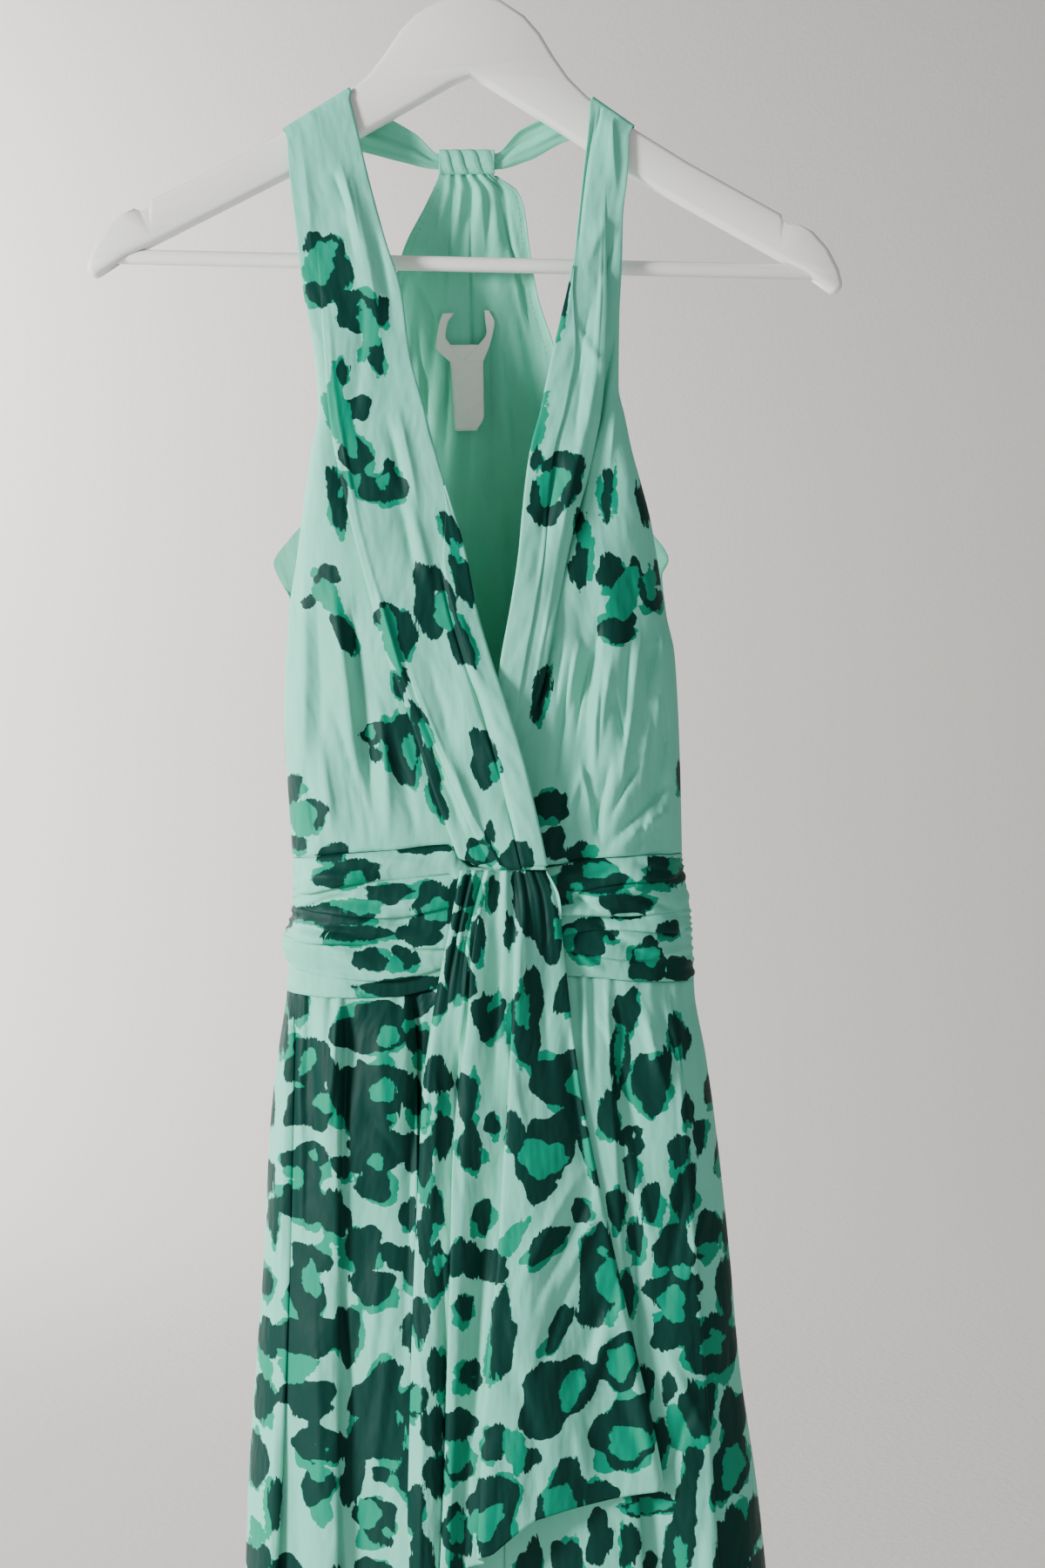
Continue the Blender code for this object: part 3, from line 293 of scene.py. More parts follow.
def all_round(u: Array, sizes: Sizes, z: Array) -> tuple[Array, Array]:
    """x from a table's left line (u = 0) to its right one (1), and the distance to the nearer line."""
    left, right = at(sizes, "left", z), at(sizes, "right", z)
    x = left + (right - left) * np.interp(u, ALL_ROUND_KNOTS, ALL_ROUND_SHARES)
    return x, np.minimum(x - left, right - x)


def dense(step: float, laps: Sequence[float] = (), near: float = 0.035, finer: float = 3.5) -> Array:
    """Columns or rows from 0 to 1, closer together near each lap.

    Args:
        step: the usual distance.
        laps: where the laps are.
        near: how far from a lap the columns stay close.
        finer: how many times closer they are.

    Returns:
        The columns, in order.
    """
    fine = np.linspace(0, 1, 4001)
    weight = np.ones_like(fine)
    for lap in laps:
        weight += (finer - 1) * np.exp(-(((fine - lap) / near) ** 4))
    way = np.concatenate([[0], np.cumsum((weight[1:] + weight[:-1]) / 2)]) / 4000
    return np.interp(np.linspace(0, way[-1], round(way[-1] / step) + 1), way, fine)


# ------------------------------------------------------------------ folds and creases
@dataclass(frozen=True)
class Lap:
    """A fold that lies over its neighbour, with a lip that hangs over the step."""

    place: float
    spread: float
    height: float
    lip: float
    high: float = 1  # +1 where the raised side is past the step, -1 where it comes before it

    def way(self, where: Array) -> Array:
        """0 on the low side of the step and 1 on the high side."""
        return np.clip(self.high * (where - self.place) / self.spread + 0.5, 0, 1)

    def lift(self, where: Array, reach: float = math.inf) -> Array:
        """Height of the raised side, which runs out over its reach."""
        past = np.clip(self.high * (where - self.place) / reach, 0, 1)
        return self.height * ramp(self.way(where)) * (1 - ramp(past))

    def slide(self, where: Array) -> Array:
        """How far the cloth goes towards the high side, to fold under the lip."""
        return self.lip * self.high * wave(self.way(where))


@dataclass(frozen=True)
class Creases:
    """Soft troughs and ridges, steeper on the right of the way they run, uneven as gravity leaves them."""

    rows: Sizes

    def lift(self, x: Array, z: Array) -> Array:
        """Height of all the creases at x and z, negative in a trough."""
        total = np.zeros_like(x)
        for x1, z1, x2, z2, width, height in zip(*self.rows.values()):
            run = np.array([x2 - x1, z2 - z1])
            length = float(np.hypot(*run))
            along = ((x - x1) * run[0] + (z - z1) * run[1]) / length**2
            off = ((x - x1) * run[1] - (z - z1) * run[0]) / length
            bent = off + 0.08 * length * (along - 0.5) ** 2 * math.copysign(1, x1 - 0.01)
            fade = ramp(along / 0.35) * ramp((1 - along) / 0.45)
            steep = np.where(bent > 0, 1.25, 0.6)
            total += height * np.exp(-(np.abs(bent / (width * steep)) ** 1.35)) * fade
        return total


def crease_set(*rows: Sequence[float]) -> Creases:
    """Creases from rows of x1, z1, x2, z2, width and height in millimetres."""
    return Creases(table("x1 z1 x2 z2 width height", *rows))


# ------------------------------------------------------------------ the print
Oval = tuple[float, ...]  # x, z, half width, half height, lean (x for each z)


def ovals(*rows: Sequence[float]) -> tuple[Oval, ...]:
    """Ovals from rows of x, z, half width, half height in millimetres, and a lean."""
    return tuple((*(value / 1000 for value in row[:4]), row[4] if len(row) > 4 else 0.0) for row in rows)


def blot(x: Array, z: Array, oval: Oval, seed: int) -> Array:
    """How far inside a wavy oval each point lies.

    Args:
        x: across.
        z: up.
        oval: the oval.
        seed: which outline it has.

    Returns:
        The distance in metres, negative outside.
    """
    wide, tall, lean = oval[2:]
    z = z - oval[1]
    x = x - oval[0] - lean * z
    turn = np.arctan2(z / tall, x / wide)
    phases = np.random.default_rng(seed).uniform(0, 2 * math.pi, 4)
    edge = 1.0
    for amount, lobes, phase in zip((0.12, 0.12, 0.07, 0.04), (2, 3, 5, 8), phases):
        edge = edge + amount * np.cos(lobes * turn + phase)
    return (edge - np.hypot(x / wide, z / tall)) * min(wide, tall)


@dataclass(frozen=True)
class Print:
    """Animal spots: bright shadows lie under the dark ovals, bright patches over them."""

    seed: int
    dark: tuple[Oval, ...]
    bright: tuple[Oval, ...] = ()
    bare: tuple[Oval, ...] = ()
    under: tuple[Oval, ...] = ()

    def fields(self, x: Array, z: Array) -> Fields:
        """How far inside the under print, the dark print and the patches each point lies.

        Args:
            x: across.
            z: up.

        Returns:
            Three distances in metres, negative outside.
        """
        under, dark, bright, bare = (
            self._inside(x, z, group, self.seed + 100 * i)
            for i, group in enumerate((self.under, self.dark, self.bright, self.bare))
        )
        aims = ((0.0012, -0.0026), (-0.0018, -0.0014), None, (0.0022, 0.0004), (-0.0006, -0.0030))
        aimed = ((oval, aims[i % len(aims)]) for i, oval in enumerate(self.dark))
        shadows = [(oval[0] + aim[0], oval[1] + aim[1], *oval[2:]) for oval, aim in aimed if aim]
        shadow = self._inside(x, z, shadows, self.seed + 500)
        return np.maximum(under, shadow), np.minimum(dark, -bare), np.minimum(bright, -bare)

    def chart(self, x: Array, z: Array, s: Array, t: Array) -> Fields:
        """The print's three distances, placed as the eye sees it from the front."""
        return self.fields(x, z)

    @staticmethod
    def _inside(x: Array, z: Array, group: Sequence[Oval], seed: int) -> Array:
        """The distance inside the nearest oval of a group."""
        total = np.full_like(x, -0.02)
        for i, oval in enumerate(group):
            total = np.maximum(total, blot(x, z, oval, seed + i))
        return total


@dataclass(frozen=True)
class Scatter:
    """Spots scattered over flat cloth on a loose lattice, each of one to three ovals."""

    seed: int
    wide: float = 0.030
    tall: float = 0.040
    lean: float = 0.0
    thin_above: float = -1.0  # in cloth metres from the top: no spots above
    full_below: float = -0.5

    def fields(self, s: Array, t: Array) -> Fields:
        """The scattered print's three distances at places of the flat cloth."""
        random = np.random.default_rng(self.seed)
        dark, bright, bare = [], [], []
        rows = int((t.max() - t.min()) / self.tall) + 2
        columns = int((s.max() - s.min()) / self.wide) + 2
        for place in range(rows * columns):
            row, column = divmod(place, columns)
            shift, size = random.uniform(-0.22, 0.22, 2), random.choice((0.6, 0.8, 1.0, 1.15, 1.3))
            turn, kind, squeeze = random.uniform(-0.4, 0.4), random.uniform(), random.uniform(0.75, 1.2)
            middle_s = s.min() + (column + 0.5 * (row % 2) + shift[0]) * self.wide
            middle_t = t.min() + (row + shift[1]) * self.tall
            shown = ramp((middle_t - self.thin_above) / (self.full_below - self.thin_above))
            if random.uniform() > shown:
                continue
            half = 0.37 * self.wide * size * squeeze, 0.38 * self.tall * size / squeeze
            aim = random.uniform(-1, 1, 4)
            part = partial(self._part, (middle_s, middle_t), half, turn)
            dark.append(part(0, 0, 1, 1))
            if size > 0.7 and kind < 0.7:
                dark.append(part(0.8 * aim[0], 0.8, 0.55, 0.55))
            if kind < 0.55:
                bright.append(part(0.4 * aim[1], 0.4 * aim[2], 0.48, 0.50))
            if kind > 0.45 and size > 0.9:
                bare.append(part(0.7 * aim[3], -0.55, 0.22, 0.20))
        return Print(self.seed, tuple(dark), tuple(bright), tuple(bare)).fields(s - self.lean * t, t)

    def chart(self, x: Array, z: Array, s: Array, t: Array) -> Fields:
        """The print's three distances, placed on the flat cloth."""
        return self.fields(s, t)

    @staticmethod
    def _part(
        middle: Sequence[float], half: Sequence[float], turn: float,
        s: float, t: float, wide: float, tall: float,
    ) -> Oval:
        """One oval of a spot, its place and size as shares of the spot's half width and height."""
        return middle[0] + s * half[0], middle[1] + t * half[1], wide * half[0], tall * half[1], turn


# ------------------------------------------------------------------ shader maths
class Socket:
    """One value of a material's node tree, which Python's operators combine."""

    def __init__(self, shade: "Shading", link: bpy.types.NodeSocket) -> None:
        """Keep the tree and the socket."""
        self.shade, self.link = shade, link

    def _with(self, operation: str, *values: "Socket | float", clamp: bool = False) -> "Socket":
        """A Math node on this value and others."""
        settings = {"operation": operation, "use_clamp": clamp}
        return self.shade.node("ShaderNodeMath", settings, dict(enumerate((self, *values))))

    def __add__(self, other: "Socket | float") -> "Socket":
        """Sum."""
        return self._with("ADD", other)

    def __sub__(self, other: float) -> "Socket":
        """Difference."""
        return self._with("SUBTRACT", other)

    def __mul__(self, other: "Socket | float") -> "Socket":
        """Product."""
        return self._with("MULTIPLY", other)

    def clamped(self) -> "Socket":
        """The value between 0 and 1."""
        return self._with("ADD", 0.0, clamp=True)

    def wave_sum(self) -> "Socket":
        """The sine of a vector's first two parts, added."""
        parts = [self.shade.node("ShaderNodeSeparateXYZ", {}, {0: self}, i) for i in (0, 1)]
        return (parts[0] + parts[1])._with("SINE")


class Shading:
    """A material's node tree, with its Principled shader."""

    def __init__(self, name: str) -> None:
        """Make the material."""
        self.material = bpy.data.materials.new(name)
        self.material.use_nodes = True
        self.tree = self.material.node_tree
        self.shader = self.tree.nodes["Principled BSDF"]

    def feed(self, socket: bpy.types.NodeSocket, value: "Socket | float | tuple") -> None:
        """Link a value to an input, or set it."""
        if isinstance(value, Socket):
            self.tree.links.new(value.link, socket)
        else:
            socket.default_value = value

    def node(self, kind: str, settings: dict, values: dict, output: int | str = 0) -> Socket:
        """Add a node.

        Args:
            kind: its Blender type.
            settings: its properties, set first.
            values: a value or a link for each input, by name or number.
            output: the socket that is given back, by name or number.

        Returns:
            The chosen output.
        """
        node = self.tree.nodes.new(kind)
        for key, value in settings.items():
            setattr(node, key, value)
        for key, value in values.items():
            self.feed(node.inputs[key], value)
        return Socket(self, node.outputs[output])

    def attribute(self, name: str, output: str = "Fac") -> Socket:
        """A value that the mesh carries."""
        return self.node("ShaderNodeAttribute", {"attribute_name": name}, {}, output)

    def place(self) -> Socket:
        """The place in the object."""
        return self.node("ShaderNodeTexCoord", {}, {}, "Object")

    def stretched(self, place: Socket, *scale: float) -> Socket:
        """A place, scaled along each axis."""
        return self.node("ShaderNodeVectorMath", {"operation": "MULTIPLY"}, {0: place, 1: scale})

    def noise(self, place: Socket, scale: float = 1.0, detail: float = 2.0) -> Socket:
        """Noise between -1 and 1."""
        values = {"Vector": place, "Scale": scale, "Detail": detail}
        return self.node("ShaderNodeTexNoise", {}, values) * 2.0 - 1.0

    def ridges(self, place: Socket) -> Socket:
        """Sharp-crested noise, about -1 to 1."""
        settings = {"noise_type": "RIDGED_MULTIFRACTAL"}
        values = {"Vector": place, "Scale": 1.0, "Detail": 3.0}
        return self.node("ShaderNodeTexNoise", settings, values) - 0.8

    def mix(self, mask: Socket, first: Socket | tuple, second: Socket | tuple) -> Socket:
        """The first colour, or the second where the mask is 1."""
        values = {0: mask, 6: first, 7: second}
        return self.node("ShaderNodeMix", {"data_type": "RGBA"}, values, 2)

    def finish(
        self, colour: Socket, roughness: Socket | float, height: Socket, **fixed: float
    ) -> bpy.types.Material:
        """Feed the shader.

        Args:
            colour: its base colour.
            roughness: its roughness.
            height: relief in metres.
            fixed: other inputs, by name with _ for a space.

        Returns:
            The material.
        """
        relief = self.node("ShaderNodeBump", {}, {"Strength": 1.0, "Distance": 1.0, "Height": height})
        values = {"Base_Color": colour, "Roughness": roughness, "Normal": relief, **fixed}
        for name, value in values.items():
            self.feed(self.shader.inputs[name.replace("_", " ")], value)
        return self.material


Colour = tuple[float, float, float, float]


def srgb(red: int, green: int, blue: int) -> Colour:
    """A colour from its screen values of 0 to 255."""
    linear = [((c / 255 + 0.055) / 1.055) ** 2.4 if c > 10 else c / 3295 for c in (red, green, blue)]
    return (*linear, 1.0)


# ------------------------------------------------------------------ finishes
@dataclass(frozen=True)
class Satin:
    """Soft satin: pale mint ground, with the print on its right side."""

    printed: bool
    ground: Colour = srgb(131, 219, 196)
    ground_deep: Colour = srgb(106, 204, 176)
    plain: Colour = srgb(122, 215, 188)
    dark: Colour = srgb(3, 56, 48)
    bright: Colour = srgb(0, 146, 114)
    crumple: float = 0.0026
    edge: float = 0.0004

    def inked(self, shade: Shading, name: str, ragged: Socket) -> Socket:
        """How much of one ink lies at a point.

        Args:
            shade: the material.
            name: the ink's distance field.
            ragged: how far the brush strays from it.

        Returns:
            0 to 1.
        """
        return ((shade.attribute(name) + ragged) * (1 / self.edge) + 0.5).clamped()

    def inks(self, shade: Shading, cloth: Socket, ground: Socket) -> Socket:
        """The three inks, brushed on the ground one over another."""
        teeth = shade.noise(shade.stretched(cloth, 620.0, 95.0, 1.0))
        rough = (shade.noise(cloth, 60.0, 1.0) * 2.2 + 0.35).clamped()
        strokes = shade.noise(cloth, 130.0, 3.0) * 0.0019 + teeth * rough * 0.0030
        other = shade.noise(shade.stretched(cloth, 170.0, 210.0, 1.0), 1.0, 3.0) * 0.0024
        colour = shade.mix(self.inked(shade, "under", other), ground, self.bright)
        colour = shade.mix(self.inked(shade, "dark", strokes), colour, self.dark)
        return shade.mix(self.inked(shade, "bright", other + teeth * 0.0006), colour, self.bright)

    def material(self) -> bpy.types.Material:
        """Build the finish."""
        shade = Shading("satin_printed" if self.printed else "satin_plain")
        cloth = shade.attribute("cloth", "Vector")
        large = shade.noise(cloth, 14.0, 3.0)
        pale = self.ground if self.printed else self.plain
        colour = shade.mix((large * 0.5 + 0.5).clamped(), pale, self.ground_deep)
        if self.printed:
            colour = self.inks(shade, cloth, colour)
        weave = shade.stretched(cloth, 9000.0, 5200.0, 0.0).wave_sum() * 0.000004
        soft = shade.noise(shade.stretched(cloth, 34.0, 13.0, 1.0), 1.0, 3.0)
        creased = shade.ridges(shade.stretched(cloth, 26.0, 9.0, 1.0))
        small = shade.noise(shade.stretched(cloth, 150.0, 60.0, 1.0))
        fine = shade.ridges(shade.stretched(cloth, 74.0, 21.0, 1.0))
        relief = (soft + creased * 0.34 + fine * 0.10) * self.crumple + small * 0.00018 + weave
        return shade.finish(colour, (large * 0.05 + 0.54).clamped(), relief, Specular_IOR_Level=0.13)


def white_paint() -> bpy.types.Material:
    """White paint on wood, a little uneven, with the grain just showing."""
    shade = Shading("white_paint")
    patches = shade.noise(shade.place(), 26.0, 3.0)
    grain = shade.noise(shade.stretched(shade.place(), 60.0, 400.0, 400.0), 1.0, 4.0)
    colour = shade.mix((patches * 0.4 + 0.3).clamped(), srgb(246, 245, 242), srgb(236, 234, 230))
    relief = grain * 0.00004 + shade.noise(shade.place(), 900.0) * 0.000012
    return shade.finish(colour, (patches * 0.06 + 0.40).clamped(), relief, Coat_Weight=0.1)


def plated_wire() -> bpy.types.Material:
    """Bright plated steel, with faint drawing lines and smudges."""
    shade = Shading("plated_wire")
    smudges = shade.noise(shade.place(), 120.0, 3.0)
    colour = shade.mix((smudges * 0.3 + 0.2).clamped(), srgb(196, 197, 200), srgb(160, 161, 164))
    relief = shade.noise(shade.place(), 2500.0) * 0.000004
    return shade.finish(colour, (smudges * 0.08 + 0.26).clamped(), relief, Metallic=1.0)


def woven_tape() -> bpy.types.Material:
    """Plain woven tape, with fine ribs across it."""
    shade = Shading("woven_tape")
    cloth = shade.attribute("cloth", "Vector")
    worn = shade.noise(cloth, 160.0, 3.0)
    colour = shade.mix((worn * 0.4 + 0.4).clamped(), srgb(255, 248, 246), srgb(236, 234, 229))
    ribs = shade.stretched(cloth, 0.0, 7000.0, 0.0).wave_sum() * 0.00002
    return shade.finish(colour, 0.75, ribs + worn * 0.00008, Sheen_Weight=0.2)


def sewing_thread() -> bpy.types.Material:
    """Sewing thread, with its fluff."""
    shade = Shading("thread")
    fluff = shade.noise(shade.place(), 3000.0)
    colour = shade.mix((fluff * 0.5 + 0.5).clamped(), srgb(140, 204, 182), srgb(112, 182, 160))
    return shade.finish(colour, 0.6, fluff * 0.00002)


def pale_wall() -> bpy.types.Material:
    """Matt plaster, slightly cloudy."""
    shade = Shading("pale_wall")
    cloudy = (shade.noise(shade.place(), 0.8) * 0.5 + 0.5).clamped()
    colour = shade.mix(cloudy, srgb(226, 223, 219), srgb(220, 217, 212))
    return shade.finish(colour, 0.9, shade.noise(shade.place(), 90.0, 3.0) * 0.0004)


# ------------------------------------------------------------------ Blender's operators, as by hand
def choose(*objects: bpy.types.Object) -> None:
    """Select some objects alone and make the first one active."""
    bpy.ops.object.select_all(action="DESELECT")
    for obj in objects:
        obj.select_set(True)
    if objects:
        bpy.context.view_layer.objects.active = objects[0]


def edit(obj: bpy.types.Object, *steps: Callable[[], object]) -> None:
    """Do some mesh operators on a whole object, in edit mode."""
    choose(obj)
    bpy.ops.object.mode_set(mode="EDIT")
    bpy.ops.mesh.select_all(action="SELECT")
    for step in steps:
        step()
    bpy.ops.object.mode_set(mode="OBJECT")


def weld(distance: float) -> Callable[[], object]:
    """An edit step that merges points nearer than a distance."""
    return partial(bpy.ops.mesh.remove_doubles, threshold=distance)


def face_outward() -> None:
    """An edit step that makes all faces point out."""
    bpy.ops.mesh.normals_make_consistent(inside=False)


def apply(obj: bpy.types.Object, kind: str, **settings: object) -> None:
    """Add a modifier and apply it.

    Args:
        obj: the object.
        kind: the modifier's type.
        settings: its properties.
    """
    choose(obj)
    modifier = obj.modifiers.new(kind.lower(), kind)
    for key, value in settings.items():
        setattr(modifier, key, value)
    bpy.ops.object.modifier_apply(modifier=modifier.name)


def settle(obj: bpy.types.Object) -> None:
    """Leave an object's place and turn in its mesh."""
    choose(obj)
    bpy.ops.object.transform_apply(location=True, rotation=True, scale=True)


def join(made: Sequence[bpy.types.Object], name: str) -> bpy.types.Object:
    """Join objects into the first one and name it."""
    choose(*made)
    bpy.ops.object.join()
    made[0].name = made[0].data.name = name
    return made[0]


def read(items: bpy.types.bpy_prop_collection, key: str, width: int) -> Array:
    """A property of all of a mesh's points or faces, a row for each."""
    values = np.empty(len(items) * width)
    items.foreach_get(key, values)
    return values.reshape(-1, width)


# ------------------------------------------------------------------ making cloth
@dataclass(frozen=True)
class Sheet:
    """How a cut piece was: its flat size, how it is held and what it stands for."""

    node: str
    flat: tuple[float, float]
    held: str
    rests_on: tuple[str, ...]
    area: float | None = None
    slot: str = "printed_cloth"

    def declare(self, obj: bpy.types.Object) -> None:
        """Attach a piece to the root and hide the imported node that it stands for."""
        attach(obj, "root")
        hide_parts(self.node)
        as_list(self.rests_on)


@dataclass(frozen=True)
class Tailor:
    """Makes the sheets of cloth, each with its outer and its inner finish."""

    printed: bpy.types.Material
    plain: bpy.types.Material

    def sheet(
        self,
        name: str,
        surface: Surface,
        columns: Array,
        rows: Array,
        cut: Sheet,
        chart: Chart | None = None,
        wall: float = CLOTH,
        ring: bool = False,
        finish: bpy.types.Material | None = None,
        facing: float = -1.0,
    ) -> bpy.types.Object:
        """Bend a grid to a surface, chart its print and give it its wall.

        Args:
            name: the piece's name.
            surface: gives x, y, z for u across and v down.
            columns: the u of each column.
            rows: the v of each row.
            cut: how the piece was cut and what it stands for.
            chart: gives the print's three fields for x, z, s, t.
            wall: the cloth's thickness.
            ring: whether the last column is welded to the first.
            finish: the material of both sides, where it isn't the dress's cloth.
            facing: the way out, as a sign along Y.

        Returns:
            The piece.
        """
        choose()
        bpy.ops.mesh.primitive_grid_add(
            x_subdivisions=len(columns) - 1, y_subdivisions=len(rows) - 1, size=1.0
        )
        obj = bpy.context.object
        obj.name = obj.data.name = name
        flat = read(obj.data.vertices, "co", 3)
        column = np.rint((flat[:, 0] + 0.5) * (len(columns) - 1)).astype(int)
        row = np.rint((flat[:, 1] + 0.5) * (len(rows) - 1)).astype(int)
        u, v = np.meshgrid(columns, rows)
        points = np.stack(np.broadcast_arrays(*surface(u.ravel(), v.ravel())), axis=1)
        points = points.reshape(len(rows), len(columns), 3)
        placed = points[row, column]
        obj.data.vertices.foreach_set("co", placed.astype(np.float32).ravel())
        s, t = (
            np.cumsum(np.linalg.norm(np.diff(points, axis=axis, prepend=first), axis=2), axis=axis)
            for axis, first in ((1, points[:, :1]), (0, points[:1]))
        )
        cloth = np.stack([s - 0.5 * s[:, -1:], t, 0 * s], axis=2)[row, column]
        self._store(obj, "cloth", "FLOAT_VECTOR", cloth)
        if chart is not None:
            fields = chart(placed[:, 0], placed[:, 2], cloth[:, 0], cloth[:, 1])
            for title, values in zip(("under", "dark", "bright"), fields):
                self._store(obj, title, "FLOAT", values)
        obj.data.update()
        areas = read(obj.data.polygons, "area", 1)[:, 0]
        if facing * (read(obj.data.polygons, "normal", 3)[:, 1] * areas).sum() < 0:
            edit(obj, bpy.ops.mesh.flip_normals)
        if ring:
            edit(obj, weld(1e-6), face_outward)
        for material in (finish or self.printed, finish or self.plain):
            obj.data.materials.append(material)
        apply(obj, "SOLIDIFY", thickness=wall, offset=0, material_offset=1)
        bpy.ops.object.shade_smooth()
        cut.declare(obj)
        LOG.info("%s: %d faces, %.4f m2", name, len(obj.data.polygons), areas.sum())
        return obj

    @staticmethod
    def _store(obj: bpy.types.Object, name: str, kind: str, values: Array) -> None:
        """Write an attribute of the points."""
        layer = obj.data.attributes.new(name, kind, "POINT")
        key = "vector" if kind == "FLOAT_VECTOR" else "value"
        layer.data.foreach_set(key, np.asarray(values, np.float32).ravel())


# ------------------------------------------------------------------ the bodice
SIDE_SHARES = (0.50, 0.20, 0.06, 0.01, 0)
SIDE_REACH = 0.040


def hang_tilted(x: float, z: float) -> tuple[float, float]:
    """A point of the upright hanger, where its tilt about the hook's top puts it."""
    cos, sin = math.cos(HANGER_TILT), math.sin(HANGER_TILT)
    x = x + SHANK_X
    return x * cos + z * sin, z * cos - x * sin


def arm_top(x: Array | float) -> Array:
    """Height of the tilted wood's upper edge at x."""
    pairs = list(zip(ARM["x"], ARM["z"]))
    xs, zs = zip(*sorted(hang_tilted(sign * out, up) for sign in (-1, 1) for out, up in pairs))
    return np.interp(x, xs, zs)


def strap_surface(stations: Sizes, span: Array, share: Array, w: Array, folds: Array) -> Point:
    """The strap from the loop (w = 0) up behind the hanger (w = 1) and over its arm (w = 2).

    Args:
        stations: its two edges behind the hanger.
        span: x of its inner and outer edge on the arm.
        share: how far each point is from the inner edge to the outer one.
        w: how far along.
        folds: how far its gathers stand out, behind the hanger.

    Returns:
        The points.
    """
    ends = [np.array([x, arm_top(x) - HANGER_ROUND]) for x in span]
    along = (ends[1] - ends[0]) / np.linalg.norm(ends[1] - ends[0])
    normal = np.array([-along[1], along[0]]) * np.sign(along[0])
    line = ends[0][:, None] + (ends[1] - ends[0])[:, None] * share
    reach_y, reach_n = HANGER_THICK / 2 + STRAP_CLEAR, HANGER_ROUND + STRAP_CLEAR
    turn = np.clip(w - 1, 0, 1) * math.pi
    rise = reach_n * np.abs(np.sin(turn)) ** (2 / 3)
    crest_y = reach_y * np.sign(np.cos(turn)) * np.abs(np.cos(turn)) ** (2 / 3)
    arm = (1, ends[0][0], reach_y, ends[0][1], ends[1][0], reach_y, ends[1][1])
    whole = {name: np.append(stations[name], last) for name, last in zip(stations, arm)}
    part = np.clip(w, 0, 1)
    behind = [between([at(whole, side + axis, part) for side in ("in_", "out_")], share) for axis in "xyz"]
    behind[1] = behind[1] + folds * ramp((part - 0.28) / 0.2) * ramp((0.98 - part) / 0.2)
    crest = (line[0] + normal[0] * rise, crest_y, line[1] + normal[1] * rise)
    return tuple(np.where(w > 1, over, under) for over, under in zip(crest, behind))


class Front:
    """What both fronts share: a panel from the arm's top to the waist, its strap and its print."""

    stations: Sizes
    spots: Print
    rows = np.concatenate(
        [np.linspace(-2, -1, 56)[:-1], np.linspace(-1, -0.02, 30), np.linspace(0.006, 1, 175)]
    )

    def x_at(self, u: Array, z: Array) -> Array:
        """Place across the panel at a height."""
        raise NotImplementedError

    def panel(self, u: Array, v: Array) -> Point:
        """The panel from the arm's top (0) to the waist (1)."""
        raise NotImplementedError

    def foot(self, u: Array) -> Array:
        """Where the panel leaves the arm's rounded top."""
        return arm_top(self.x_at(u, ARM_Z + 0 * u)) - HANGER_ROUND - STRAP_BELOW

    def whole(self, u: Array, v: Array) -> Point:
        """The strap (v from -2) and the panel (v from 0) as one surface."""
        span = np.array([float(self.x_at(np.array(side), np.array(ARM_Z))) for side in (0.0, 1.0)])
        share = (self.x_at(u, ARM_Z + 0 * u) - span[0]) / (span[1] - span[0])
        folds = 0.0013 * wave(1.3 * share + 0.2 + 0.25 * v) + 0.0004 * wave(3.1 * share + 0.3 - 0.4 * v)
        strap = strap_surface(self.stations, span, share, np.clip(v + 2, 0, 2), folds)
        panel = self.panel(u, np.clip(v, 0, 1))
        return tuple(np.where(v < 0, one, other) for one, other in zip(strap, panel))


